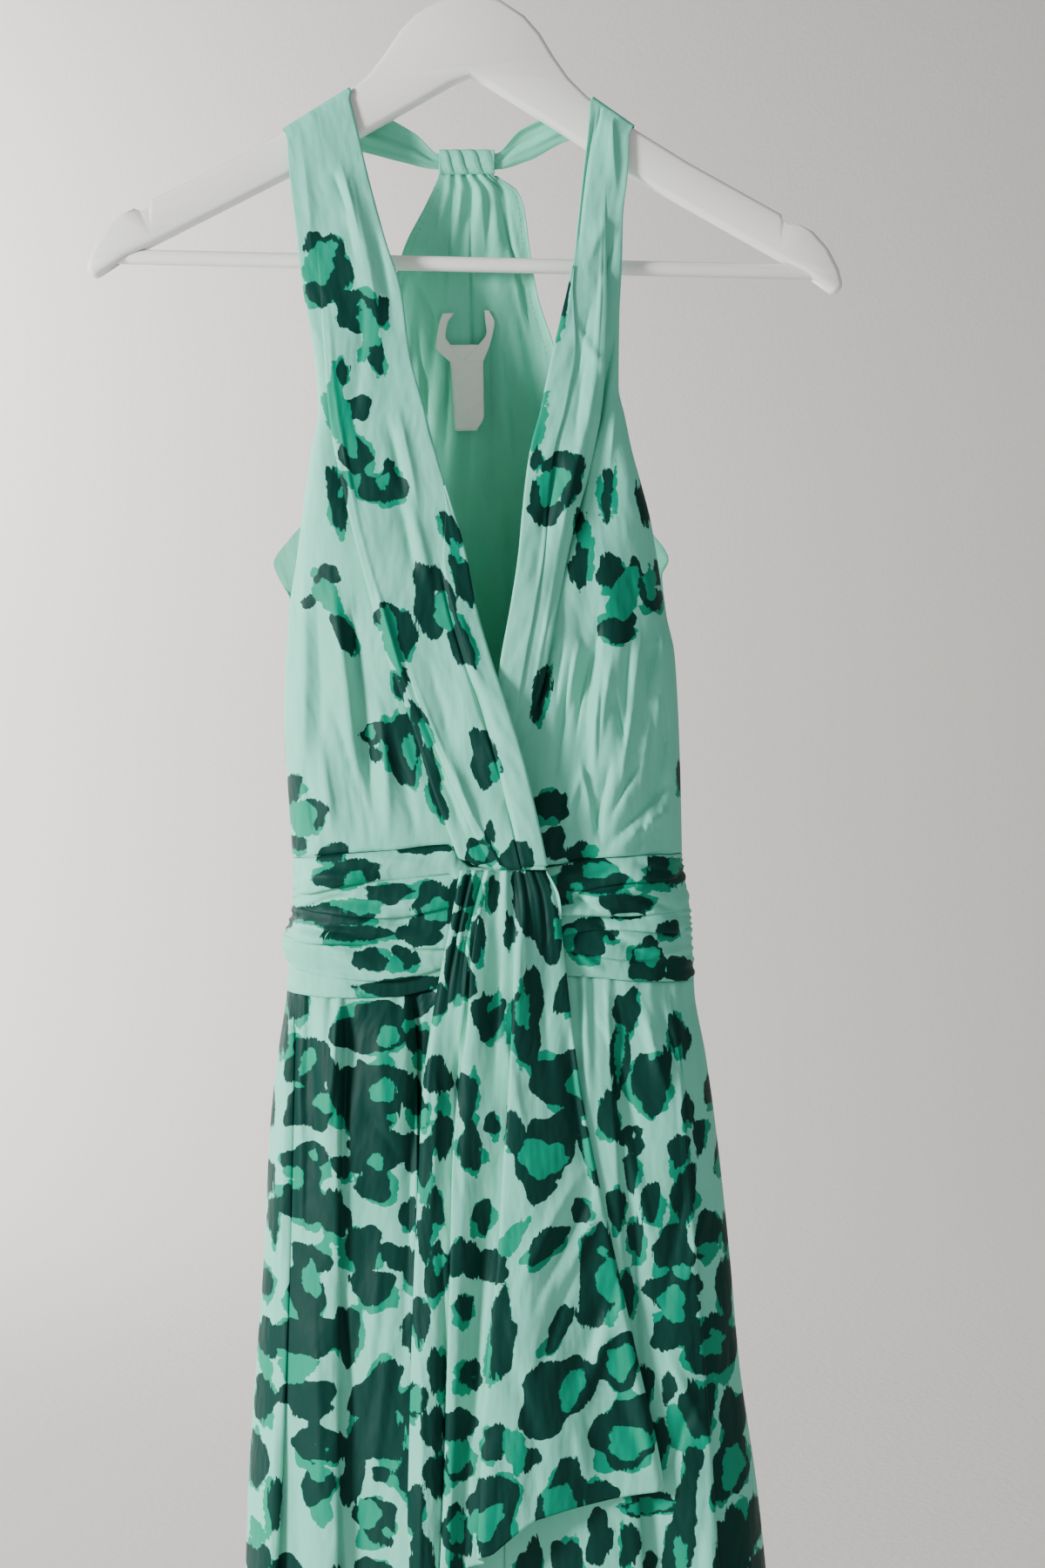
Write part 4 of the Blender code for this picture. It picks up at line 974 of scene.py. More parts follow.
class FrontOver(Front):
    """The left front, which laps over the other: two pleats and a crossing fold along its neckline."""

    stations = STRAP_OVER
    knots = (0, 0.11, 0.38, 0.50, 0.62, 0.80, 0.88, 0.94, 0.98, 1)
    outer = Lap(0.6025, 0.035, 0.0050, 0.0030, -1)
    inner = Lap(0.4825, 0.035, 0.0038, 0.0026, -1)
    lap_fold = 0.0046
    lap_fold_width = 0.036
    ripple = 0.0013
    creases = crease_set(
        (-78, -166, -67, -197, 2.2, -2.2), (-74, -158, -60, -215, 4, 2), (-96, -140, -88, -230, 5, 1.4),
        (-70, -150, -45, -290, 9, 3), (-71, -190, -64, -222, 3, -1.6), (-56, -190, -40, -262, 3, -1.5),
        (-46, -306, -34, -362, 2.8, -2.2), (-40, -300, -26, -372, 4, 1.8), (-58, -240, -66, -330, 5, -1.6),
        (-40, -350, -28, -404, 2.6, -2.6), (-33, -352, -18, -420, 4, 2), (-53, -553, -67, -395, 7, -5.2),
        (-77, -385, -58, -550, 4.5, 3), (-78, -462, -50, -558, 2, -2.6), (-66, -412, -60, -472, 2.4, -2.2),
        (-50, -460, -42, -556, 4, 2.4), (-98, -376, -102, -500, 6, -1.8), (-86, -390, -81, -520, 6, -1.7),
        (-92, -370, -92, -540, 6, 2), (-84, -480, -74, -556, 4, 2.2), (-68, -500, -60, -556, 2.6, -2),
        (-93, -500, -84, -556, 3, -2), (-44, -480, -26, -553, 3.5, -2.2), (-52, -400, -34, -470, 5, 1.8),
        (-24, -440, -4, -515, 5, -1.8), (-12, -400, 10, -470, 5, 1.6), (0, -452, 18, -500, 2.2, -1.8),
        (-14, -490, 10, -556, 4, 2.2), (-20, -500, 2, -552, 2.6, -2), (12, -500, 28, -552, 3, -1.6),
    )
    spots = Print(
        dark=ovals(
            (-77, -221, 10, 16), (-83, -236, 10, 9), (-89, -208, 6, 6), (-64, -248, 12, 14, -0.3),
            (-50, -248, 5, 8), (-53, -273, 5, 12, -0.2), (-72, -284, 4, 7), (-63, -304, 7.5, 8),
            (-64, -331, 9, 13, -0.2), (-74, -355, 5.5, 19, -0.1), (-49, -348, 12.5, 12),
            (-80, -399, 7.5, 6.5), (-90, -413, 5, 4), (-70, -432, 5, 12, -0.3), (-46, -421, 7, 6),
            (-36, -431, 6, 14, -0.15), (-38, -459, 4, 10), (-20, -413, 11, 22, -0.2),
            (-5, -437, 7, 14, -0.4), (-10, -374, 5, 11, -0.4), (-3, -401, 6.5, 14, -0.35),
            (-37, -496, 10.5, 20, -0.2), (-54, -488, 6, 7), (-52, -500, 3.5, 4), (-28, -478, 4, 9, -0.4),
            (-21, -505, 4, 12, -0.35), (-17, -525, 4, 12, -0.35), (9, -502, 9, 15, -0.1), (-101, -519, 7, 8),
            (-86, -532, 6, 9), (-98, -549, 7, 5), (-75, -555, 8, 7), (12, -543, 3.5, 6), (6, -554, 8, 8),
            (27, -556, 9, 9), (-45, -338, 4, 4),
        ),
        bright=ovals(
            (-86, -221, 8.5, 12, -0.1), (-79, -212, 4, 5), (-57, -257, 5, 14, -0.3), (-60, -272, 3.5, 7),
            (-73, -309, 8, 21, -0.2), (-48.5, -346, 4, 4.5), (-79, -411, 7.5, 10, -0.3),
            (-43, -436, 4.5, 18, -0.25), (-14, -420, 5.5, 10, -0.2), (-7, -386, 2.5, 6, -0.4),
            (-33, -498, 4, 9, -0.2), (-55, -487, 3, 4), (-23, -488, 3, 9, -0.4), (15, -509, 3, 7),
            (-95, -535, 9, 11, -0.3), (6, -554, 5, 5), (-72, -352, 1.5, 3),
        ),
        bare=ovals((-53, -339, 5, 5, 0.4), (-18, -409, 1.6, 1.2), (-47, -497, 1.6, 3)),
        under=ovals((-73, -283, 5, 9), (-66, -345, 7, 6)),
        seed=3,
    )

    def x_at(self, u: Array, z: Array) -> Array:
        """x at a height, from the neckline (0) through the pleat edges to the side (1)."""
        edge, inner, outer, side = (at(FRONT_OVER, name, z) for name in ("edge", "inner", "outer", "side"))
        reach = np.minimum(outer - side, SIDE_REACH)
        near = [side + reach * share for share in SIDE_SHARES]
        band = edge - NECK_BAND_WIDTH - 0.001
        return across(u, self.knots, (edge, band, inner + 0.004, inner - 0.001, outer, *near))

    def panel(self, u: Array, v: Array) -> Point:
        """The panel, with its pleats lapping towards the side."""
        z = top = self.foot(u)
        for _ in range(3):
            z = top + (at(OVER_LOW, "low", self.x_at(u, z)) - top) * v
        x = self.x_at(u, z)
        side, side_y, depth, edge = (at(FRONT_OVER, name, z) for name in ("side", "side_y", "depth", "edge"))
        uneven = 1 + 0.25 * wave(z / 0.11 + 0.2) * below(z, -0.25, 0.1)
        depth = rounded(x - side, rounding(STRAP_ROUND, z), side_y, depth)
        for lap, opened in ((self.outer, below(z, -0.20, 0.12)), (self.inner, below(z, -0.44, 0.05))):
            puffed = 0.0007 * bump(u - lap.place + 0.045, 0.028) * uneven
            depth = depth + (lap.lift(u) + puffed) * opened
            x = x - lap.slide(u) * opened * uneven
        roll = ramp(1 - (edge - x) / self.lap_fold_width)
        depth = depth + self.lap_fold * roll * below(z, -0.42, 0.05)
        depth = depth - 0.0013 * bump(u - 0.118, 0.010) * ramp((v - 0.60) / 0.08)
        ripple = wave((u - 0.62) / 0.19) * ramp((u - 0.64) / 0.1) * ramp((0.97 - u) / 0.1)
        depth = depth + self.ripple * ripple * below(z, -0.38, 0.1)
        creased = 1.25 * self.creases.lift(x, z) * ramp((x - side) / 0.012) * above(z, -0.566, 0.01)
        return x, -depth - creased - SEAM / 2, z

    def build(self, tailor: Tailor) -> None:
        """Make the front with its strap, and its binding."""
        columns = dense(0.0125, (0.12, self.inner.place, self.outer.place, 0.70, 0.79, 0.88), 0.04, 3)
        cut = Sheet("front_over", (0.165, 0.62), "gathered", ("hanger_body",), 0.0502)
        tailor.sheet("left_front", self.whole, columns, self.rows, cut, self.spots.chart)
        cut = Sheet("neck_band_over", (0.0148, 0.228), "stretched", ("left_front",))
        Binding(self, 0.105, (0.53, 0.995), 1.0).build(tailor, "left_binding", cut)


class FrontUnder(Front):
    """The right front, which runs on under the other. Its lapel is turned back along a fold."""

    stations = STRAP_UNDER
    knots = (0, 0.16, 0.42, 0.78, 0.87, 0.94, 0.98, 1)
    fold = Lap(0.395, 0.045, 0.0056, 0.0028, -1)
    ripple = 0.0015
    creases = crease_set(
        (72, -122, 59, -225, 1.5, -2.6), (77, -122, 69, -156, 1.2, -1.8), (80, -128, 84, -186, 3, 2),
        (89, -150, 84, -205, 2.5, -1.5), (87, -196, 70, -240, 3.4, -1.8), (82, -186, 64, -226, 4, 1.6),
        (58, -254, 78, -286, 3, 1.8), (70, -236, 58, -300, 3.5, -1.8), (87, -238, 68, -335, 3, -4.6),
        (74, -298, 56, -388, 3, -4.8), (62, -355, 42, -436, 2.8, -4), (80, -250, 60, -345, 5, 2.6),
        (66, -310, 46, -400, 5, 2.4), (90, -262, 76, -350, 3, 2), (50, -330, 34, -420, 4, -2),
        (48, -425, 35, -490, 3, -2.6), (74, -420, 64, -484, 3, -2.8), (63, -432, 54, -474, 3, 2.4),
        (80, -440, 72, -500, 3.4, 2.4), (90, -424, 86, -508, 3, -3), (97, -432, 91, -474, 3, 2.4),
        (108, -420, 102, -460, 3.4, -2.6), (115, -462, 108, -522, 4, -2.4), (103, -474, 95, -522, 3, 2.2),
        (120, -508, 70, -558, 3.2, -3.2), (115, -526, 80, -555, 2.6, 2.6), (80, -500, 68, -554, 3, -2.6),
        (64, -505, 52, -545, 3, 2.2), (59, -462, 45, -522, 4, -2.2), (100, -528, 94, -557, 2.4, -1.8),
        (108, -380, 100, -420, 4, 1.6), (53, -432, 48, -474, 1.9, -1.8), (58, -436, 50, -504, 2, -2.3),
        (69, -436, 58, -496, 1.9, -2.3), (73, -450, 69, -516, 1.9, 2.2), (81, -462, 88, -498, 2, -2),
        (104, -434, 99, -474, 2, -2.2), (108, -458, 105, -504, 1.9, 2), (97, -500, 76, -540, 2, -2.6),
        (118, -526, 87, -553, 2, 2.4), (75, -553, 66, -512, 2, -2.4), (112, -476, 104, -540, 2.2, -2.4),
        (92, -468, 84, -524, 2, 2.2), (60, -498, 72, -542, 2.2, 2), (66, -270, 58, -332, 2, -1.8),
        (118, -440, 121, -500, 2.4, -2),
    )
    spots = Print(
        dark=ovals(
            (53, -337, 11, 8), (57, -348, 5, 13, 0.1), (43, -364, 9, 8), (37, -353, 3, 9, 0.1),
            (52, -249, 3.5, 14, 0.2), (38, -333, 3.5, 6), (78, -353, 4, 15), (98, -357, 4, 13, -0.2),
            (62, -394, 5, 13), (62, -369, 3, 8), (80, -397, 7.5, 11), (84, -428, 11, 9),
            (95, -400, 5, 10, -0.2), (107, -396, 4, 7), (104, -412, 6.5, 6), (40, -465, 4.5, 17, 0.25),
            (46, -528, 9.5, 10), (46, -549, 8, 10), (62, -555, 8, 6), (120, -512, 3, 9),
        ),
        bright=ovals(
            (47, -349, 7.5, 12, 0.15), (50, -260, 2.5, 8, 0.2), (82, -353, 1.8, 12), (66, -375, 2.6, 9),
            (87, -410, 9, 14, 0.3), (102, -402, 4, 9), (46, -537, 4, 2.6), (67, -554, 5, 3),
        ),
        bare=ovals((36, -521, 3, 3), (52, -520, 2, 2)),
        under=ovals((40, -314, 3.2, 18, 0.2), (68, -385, 3, 9)),
        seed=17,
    )

    def x_at(self, u: Array, z: Array) -> Array:
        """x at a height, from the neckline (0) through the lapel's fold to the side (1)."""
        edge, fold, side = (at(FRONT_UNDER, name, z) for name in ("edge", "fold", "side"))
        reach = np.minimum(side - fold, SIDE_REACH)
        near = [side - reach * share for share in SIDE_SHARES]
        band = edge + np.minimum(NECK_BAND_WIDTH + 0.001, 0.6 * (fold - edge))
        return across(u, self.knots, (edge, band, fold, *near))

    def panel(self, u: Array, v: Array) -> Point:
        """The panel, with its lapel's fold and the crumples beside it."""
        z = top = self.foot(u)
        for _ in range(3):
            x = self.x_at(u, z)
            tucked = 0.0010 * below(x, 0.055, 0.01)
            z = top + (at(BAND, "top", x) + 0.0005 + tucked - top) * v
        x = self.x_at(u, z)
        side, side_y, depth = (at(FRONT_UNDER, name, z) for name in ("side", "side_y", "depth"))
        depth = rounded(side - x, rounding(STRAP_ROUND, z), side_y, depth)
        lapel = below(z, -0.17, 0.09) * above(z, -0.49, 0.04)
        puffed = 0.0008 * bump(u - self.fold.place + 0.055, 0.035) * (1 + 0.4 * wave(z / 0.09))
        depth = depth + (self.fold.lift(u) + puffed) * lapel
        ripple = wave((u - 0.42) / 0.21 + 0.6 * (z + 0.45)) * ramp((u - 0.43) / 0.1)
        depth = depth + self.ripple * ripple * ramp((0.97 - u) / 0.1) * below(z, -0.36, 0.1)
        creased = 1.25 * self.creases.lift(x, z) * ramp((side - x) / 0.010) * above(z, -0.562, 0.01)
        return x + self.fold.slide(u) * lapel, -depth - creased - SEAM / 2, z

    def build(self, tailor: Tailor) -> None:
        """Make the front with its strap, and its binding."""
        columns = dense(0.0130, (self.fold.place, 0.49, 0.58, 0.67, 0.76), 0.045, 3.1)
        cut = Sheet("front_under", (0.130, 0.62), "gathered", ("hanger_body",), 0.0402)
        tailor.sheet("right_front", self.whole, columns, self.rows, cut, self.spots.chart)
        cut = Sheet("neck_band_under", (0.0152, 0.275), "stretched", ("right_front",))
        Binding(self, 0.155, (0.22, 0.83), -1.0).build(tailor, "right_binding", cut)


@dataclass
class Binding:
    """A narrow strip folded round a neckline and stitched down."""

    front: Front
    wide: float
    run: tuple[float, float]
    past: float  # the side of the edge, along x, that has no cloth
    fold: float = 0.0011

    def surface(self, u: Array, v: Array) -> Point:
        """From behind the edge (u = 0), round it and over the front to the stitching (1)."""
        turn = np.clip(u / 0.3, 0, 1) * math.pi
        flat = np.clip((u - 0.3) / 0.7, 0, 1)
        grown = 0.12 + 0.88 * ramp(v / 0.22)
        x, y, z = self.front.panel(flat * self.wide * grown, between(self.run, v))
        puffed = 0.0002 * wave(9 * v + flat) * np.sin(math.pi * flat)
        out = -np.cos(turn) * self.fold + puffed
        return x + self.past * self.fold * np.sin(turn) * grown, y - out, z

    def build(self, tailor: Tailor, name: str, cut: Sheet) -> None:
        """Make the strip."""
        columns = np.concatenate([np.linspace(0, 0.3, 9)[:-1], np.linspace(0.3, 1, 11)])
        rows, chart = np.linspace(0, 1, 110), self.front.spots.chart
        tailor.sheet(name, self.surface, columns, rows, cut, chart, wall=0.0005)


class Back:
    """The racer back, gathered into the loop at its top."""

    gather = 0.0013
    spots = Scatter(11, 0.034, 0.042, 0.05, 0.08, 0.36)
    creases = crease_set(
        (2, -330, -2, -158, 1.3, 2.6), (-9, -166, -16, -250, 1.6, 2.2), (-22, -330, -33, -240, 1.8, 2.2),
        (-36, -212, -16, -256, 2.2, 2), (28, -340, 16, -240, 1.8, 2.4), (11, -162, 25, -216, 1.8, 3),
        (21, -176, 31, -226, 2.2, -1.6), (33, -216, 46, -275, 2, 1.8), (-5, -162, -7, -200, 2.2, -1.5),
        (6, -164, 9, -215, 2.2, -1.5), (-13, -162, -25, -212, 2, 1.6), (10, -250, 12, -330, 2, 1.8),
        (-12, -262, -14, -345, 2.6, 1.8), (-48, -262, -60, -345, 4, 1.6), (42, -262, 56, -345, 4, 1.6),
        (-38, -300, -30, -420, 5, -2), (16, -330, 22, -450, 5, -2), (-60, -360, -40, -460, 7, 2),
        (70, -380, 50, -480, 7, -2), (-80, -430, -70, -540, 6, -2), (-30, -440, -22, -545, 5, 2),
        (0, -440, 4, -550, 5, -2), (40, -430, 44, -545, 6, 2), (86, -440, 92, -540, 6, 2),
    )

    def surface(self, u: Array, v: Array) -> Point:
        """From the loop (0) to the waist (1), from the left edge to the right."""
        top = LOOP_MID[2] - LOOP_HALF[2] - CLOTH / 2
        z = top + (between(BACK_WAIST, u) + SEAM - top) * v
        x, distance = all_round(u, BACK, z)
        left, level = at(BACK, "left", z), at(BACK, "depth", z)
        y = rounded(distance, rounding(BACK_ROUND, z), at(BACK, "side_y", z), level)
        gathers = 0.7 * wave(5 * u + 0.06 * np.sin(36 * z)) * above(z, -0.27, 0.09)
        broad = 1.1 * wave(3.3 * u + 0.3 + 0.08 * np.sin(14 * z)) * below(z, -0.19, 0.1)
        low = 0.8 * wave(9 * u + 0.1 * np.sin(20 * z)) * below(z, -0.46, 0.1)
        fine = 0.65 * wave(8.3 * u + 0.12 * np.sin(30 * z)) * below(z, -0.22, 0.06)
        y = y + self.gather * (gathers + broad + low + fine) * ramp(distance / 0.008)
        wing = above(z, -0.418, 0.018) * below(z, -0.335, 0.03) * ramp((0.034 - (x - left)) / 0.02)
        y = y + (level + 0.15 * (left + 0.020 - x) - y) * wing
        step_x = 0.0130 - 0.24 * (z + 0.168)
        y = y + 0.0030 * ramp((x - step_x) / 0.0012) * above(z, -0.262, 0.03)
        return x, y + self.creases.lift(x, z) * ramp(distance / 0.010) + SEAM / 2, z

    def build(self, tailor: Tailor) -> None:
        """Make the back."""
        cut = Sheet("back_bodice", (0.26, 0.40), "gathered", ("nape_loop",), 0.0737)
        columns, rows = dense(0.0105, (0.0, 0.5, 1.0), 0.02, 3), np.linspace(0, 1, 150)
        tailor.sheet("racer_back", self.surface, columns, rows, cut, self.spots.chart, facing=1.0)


class Loop:
    """The pleated loop at the nape that the straps run through."""

    pleat = 0.0010

    def surface(self, u: Array, v: Array) -> Point:
        """Round the straps (u) and along them (v)."""
        (mid_x, mid_y, mid_z), (half_x, half_y, half_z) = LOOP_MID, LOOP_HALF
        turn = 2 * math.pi * u
        slant = 4.3 * v + 0.34 * np.sin(turn) + 0.16 * wave(0.8 * v)
        ridge = (0.5 - np.abs((slant % 1) - 0.72)) * 2 * np.sin(math.pi * v) ** 0.4
        out = half_y + self.pleat * (ridge - 0.35)
        rise = np.sign(np.sin(turn)) * np.abs(np.sin(turn)) ** 0.7
        x = mid_x - half_x + 2 * half_x * v
        return x, mid_y + out * np.cos(turn), mid_z + (half_z + 0.3 * self.pleat * ridge) * rise

    def build(self, tailor: Tailor) -> None:
        """Make the loop."""
        cut = Sheet("back_loop", (0.037, 0.032), "folded", ("left_front", "right_front"))
        columns, rows = np.linspace(0, 1, 73), np.linspace(0, 1, 64)
        tailor.sheet("nape_loop", self.surface, columns, rows, cut, ring=True, finish=tailor.plain)


LEFT_BAND_PRINT = Print(
    dark=ovals(
        (-77, -555, 8, 5), (-67, -566, 17, 8, 0.6), (-24, -552, 16, 3), (-45, -577, 13, 6),
        (-75, -588, 25, 7), (-63, -599, 20, 5), (-19, -583, 11, 14), (-26, -598, 14, 8), (-55, -614, 11, 6),
        (-36, -613, 9, 6), (-36, -629, 25, 6), (-103, -593, 4, 5), (-2, -575, 8, 10),
    ),
    bright=ovals(
        (-63, -569, 7, 4), (-61, -584, 15, 4), (-18, -586, 7, 7), (-41, -617, 6, 4), (0, -573, 4, 6),
    ),
    bare=ovals((-86, -583, 3, 1.5), (-30, -588, 2, 3)),
    seed=21,
)
RIGHT_BAND_PRINT = Print(
    dark=ovals(
        (68, -568, 22, 9, 0.3), (111, -566, 15, 8), (62, -555, 8, 5), (88, -584, 13, 8), (112, -597, 6, 5),
        (64, -601, 13, 12), (100, -615, 12, 11), (119, -620, 9, 8), (48, -579, 7, 6), (80, -600, 4, 3),
    ),
    bright=ovals(
        (73, -564, 9, 5), (104, -574, 12, 2.6), (116, -562, 5, 4), (56, -602, 4, 6), (100, -612, 7, 6),
    ),
    bare=ovals((60, -573, 4, 2), (108, -606, 3, 1.5)),
    seed=29,
)
DRAPE_PRINT = Print(
    dark=ovals(
        (0, -576, 7, 10), (14, -577, 4, 9), (38, -586, 13, 24, -0.2), (-5, -592, 5, 6), (5, -602, 4.5, 12),
        (-7, -620, 6, 18), (1, -626, 4, 8), (23, -598, 3.5, 11), (53, -634, 6, 10), (-17, -636, 6, 9),
        (11, -644, 8, 14), (33, -645, 9, 25), (-17, -677, 7, 12), (-1, -688, 5, 16), (1, -716, 7, 12),
        (13, -703, 4, 7), (54, -681, 17, 18, -0.3), (43, -719, 18, 22, 0.2), (71, -722, 9, 15, -0.2),
        (26, -707, 5, 12), (-25, -697, 4, 8), (-14, -710, 5, 14), (-24, -724, 5, 14), (8, -754, 5.5, 9),
        (44, -768, 10, 9, 0.7), (-18, -749, 4, 11), (-3, -776, 8, 10), (11, -782, 11, 10, 0.4),
        (-24, -765, 5, 13), (-17, -785, 7, 14), (-2, -804, 4.5, 8), (19, -818, 7, 24, 0.1),
        (50, -815, 6, 12, 0.4), (73, -787, 13, 28), (-26, -810, 5, 13), (-17, -838, 5, 13), (2, -841, 6, 9),
        (48, -851, 18, 24, 0.3), (83, -834, 13, 14), (-5, -867, 9, 9), (-5, -886, 8, 12), (16, -875, 8, 10),
        (33, -884, 6, 7), (14, -914, 14, 21), (87, -872, 18, 20), (52, -912, 13, 28, 0.2),
        (-28, -854, 5, 10), (-19, -869, 6, 13), (-18, -895, 6, 12), (-29, -912, 6, 12), (-6, -925, 8, 14),
        (73, -908, 9, 12), (-25, -940, 8, 15), (-6, -955, 7, 14), (-20, -965, 6, 10), (-28, -990, 7, 14),
        (-12, -985, 7, 12), (-30, -1015, 5, 12), (62, -752, 5, 8), (83, -756, 5, 9),
    ),
    bright=ovals(
        (5, -575, 3.5, 8), (50, -596, 3, 6), (30, -640, 3.5, 12), (15, -636, 3, 6, 0.5), (61, -683, 7, 8),
        (41, -722, 12, 11), (68, -720, 5, 8), (25, -765, 5, 12, 0.6), (77, -790, 7, 11), (74, -774, 3, 3),
        (57, -848, 6, 11, 0.2), (84, -834, 8, 9), (-5, -884, 6, 10), (26, -879, 6, 13), (89, -878, 13, 8),
        (10, -918, 9, 9, 0.4), (51, -915, 9, 18), (-6, -923, 5, 7), (-29, -854, 4, 8), (-24, -700, 3, 5),
        (-16, -780, 3, 6),
    ),
    bare=ovals((49, -735, 1.5, 1.5), (3, -843, 1.2, 1.2), (-8, -930, 1.5, 1.5), (-3, -918, 1.5, 1.5)),
    under=ovals(
        (2, -702, 4, 6), (6, -757, 6, 9), (40, -775, 9, 7, 0.7), (-3, -806, 6, 9), (16, -832, 6, 14, 0.2),
        (45, -824, 6, 7, 0.4), (-3, -842, 6, 9), (-14, -694, 4, 8), (-23, -738, 5, 10), (5, -722, 6, 6),
    ),
    seed=37,
)
LEFT_SKIRT_PRINT = Print(
    dark=ovals(
        (-97, -639, 8, 9), (-89, -672, 14, 15), (-89, -695, 15, 15), (-54, -652, 20, 15),
        (-56, -690, 19, 24), (-91, -727, 14, 11), (-91, -748, 14, 14), (-48, -719, 19, 13, 0.5),
        (-52, -738, 11, 9), (-74, -754, 8, 13), (-33, -754, 5, 9), (-58, -773, 11, 12), (-40, -777, 10, 7),
        (-88, -780, 11, 9), (-90, -800, 11, 14), (-53, -794, 11, 11), (-91, -823, 20, 12),
        (-89, -856, 18, 10), (-67, -821, 8, 15), (-82, -880, 14, 11), (-83, -902, 9, 11),
        (-50, -853, 12, 20, 0.4), (-60, -885, 9, 26, 0.3), (-44, -880, 9, 20), (-50, -921, 11, 14),
        (-97, -955, 13, 12), (-52, -951, 12, 9), (-28, -637, 9, 10), (-28, -660, 6, 10), (-106, -655, 4, 14),
        (-110, -760, 4, 13), (-112, -738, 3, 11), (-113, -700, 4, 10), (-114, -797, 4, 8),
        (-114, -828, 7, 10), (-115, -860, 7, 13), (-118, -895, 6, 16), (-107, -914, 4, 15),
        (-118, -951, 9, 13), (-30, -690, 6, 12), (-30, -720, 6, 12), (-29, -785, 6, 12), (-30, -820, 6, 14),
        (-32, -860, 6, 12), (-32, -895, 6, 14), (-70, -728, 5, 7), (-72, -958, 6, 10),
    ),
    bright=ovals(
        (-90, -671, 5, 7, 0.4), (-80, -693, 5, 6), (-51, -725, 5, 4), (-87, -791, 5.5, 9),
        (-95, -840, 11, 8), (-82, -895, 7, 4), (-55, -918, 6, 9), (-114, -842, 5, 7), (-118, -934, 6, 7),
        (-28, -670, 4, 5), (-98, -963, 6, 4),
    ),
    bare=ovals(
        (-45, -656, 6, 6), (-66, -671, 5, 2.5), (-47, -686, 8, 6), (-42, -701, 4, 2),
        (-97, -684, 7, 1.6, 0.5), (-98, -735, 7, 6), (-86, -722, 3, 3), (-84, -881, 2, 1.6),
        (-78, -883, 1.5, 1.5), (-45, -890, 9, 2.6), (-47, -902, 8, 2.2), (-99, -710, 12, 3, 1.5),
        (-44, -927, 3, 3), (-51, -935, 2, 2),
    ),
    under=ovals(
        (-74, -762, 7, 8), (-64, -780, 7, 8), (-48, -741, 11, 8), (-50, -801, 10, 8),
        (-44, -860, 8, 14, 0.5), (-82, -910, 9, 12), (-115, -797, 6, 10), (-109, -915, 5, 16),
        (-104, -640, 4, 8),
    ),
    seed=43,
)
RIGHT_SKIRT_PRINT = Print(
    dark=ovals(
        (88, -642, 7, 12), (102, -680, 12, 17), (84, -670, 6, 19, 0.1), (115, -654, 4, 10),
        (121, -659, 3.5, 9), (117, -720, 5.5, 10), (120, -744, 7, 16), (101, -747, 6, 10), (129, -713, 4, 9),
        (122, -697, 3.5, 9), (133, -767, 7.5, 13), (114, -774, 10, 15), (115, -798, 18, 11),
        (115, -818, 14, 11), (144, -800, 5, 20), (139, -830, 13, 16), (128, -833, 9, 8), (111, -850, 4, 9),
        (127, -861, 9.5, 16), (148, -871, 8, 16), (147, -895, 10, 16), (124, -890, 5, 11),
        (120, -919, 7, 24), (146, -940, 11, 23), (139, -905, 6, 9), (113, -937, 6, 15), (89, -934, 5, 13),
        (100, -951, 4.5, 11), (130, -957, 8, 9), (160, -930, 5, 13), (162, -957, 6, 12), (93, -767, 4, 11),
        (91, -713, 7, 8), (90, -731, 4, 11), (78, -700, 6, 14), (82, -750, 5, 12), (100, -912, 16, 7),
        (72, -930, 8, 14), (54, -945, 8, 16), (34, -950, 8, 16), (141, -728, 3.5, 9), (146, -769, 3.5, 10),
        (136, -690, 4, 9), (86, -800, 6, 14), (96, -850, 6, 14), (104, -880, 6, 14),
    ),
    bright=ovals(
        (84, -664, 3, 15, 0.1), (113, -804, 8, 9), (136, -829, 7, 6), (147, -897, 7, 11), (100, -914, 12, 4),
        (117, -940, 4, 10), (141, -733, 3, 6), (133, -776, 5, 4), (118, -786, 5, 4),
    ),
    bare=ovals((104, -664, 4, 5), (136, -822, 1.4, 1.4), (140, -834, 1.4, 1.4), (92, -712, 1.5, 2)),
    under=ovals(
        (101, -688, 12, 14), (115, -660, 4.5, 10), (117, -727, 6, 9), (120, -750, 8, 13), (103, -752, 7, 9),
        (133, -776, 7, 8), (118, -870, 10, 12), (127, -870, 9, 13), (94, -772, 6, 10), (137, -692, 4, 9),
    ),
    seed=53,
)
LEFT_BAND_CREASES = crease_set(
    (-94, -566, -30, -570, 3.2, 1.8), (-98, -577, -20, -586, 3, -2.2), (-88, -586, -16, -602, 3.4, 2.4),
    (-70, -598, -12, -612, 3, -2.2), (-100, -606, -50, -612, 3.2, 2), (-96, -618, -24, -625, 3, -2),
    (-60, -556, -12, -562, 3, 2), (-101, -588, -58, -574, 2, -2.4), (-101, -596, -52, -599, 2, -2.6),
    (-100, -603, -58, -618, 2.2, -2.6), (-101, -570, -68, -565, 2, 2.2), (-50, -592, -18, -584, 2.2, -2.4),
)
RIGHT_BAND_CREASES = crease_set(
    (54, -584, 116, -568, 3.2, 2.4), (60, -592, 112, -584, 3, -2.2), (50, -572, 90, -562, 3, -1.8),
    (66, -600, 122, -604, 3.2, 2.2), (74, -610, 118, -618, 3, -2), (90, -560, 120, -568, 2.6, -1.8),
    (48, -571, 82, -593, 2.6, -3.2), (76, -588, 106, -588, 2.4, -2.8), (68, -592, 103, -614, 2.8, -3.4),
    (100, -611, 126, -610, 2.4, 2.4), (123, -590, 86, -577, 2.2, -2.4), (52, -604, 78, -622, 2.6, 2.4),
)
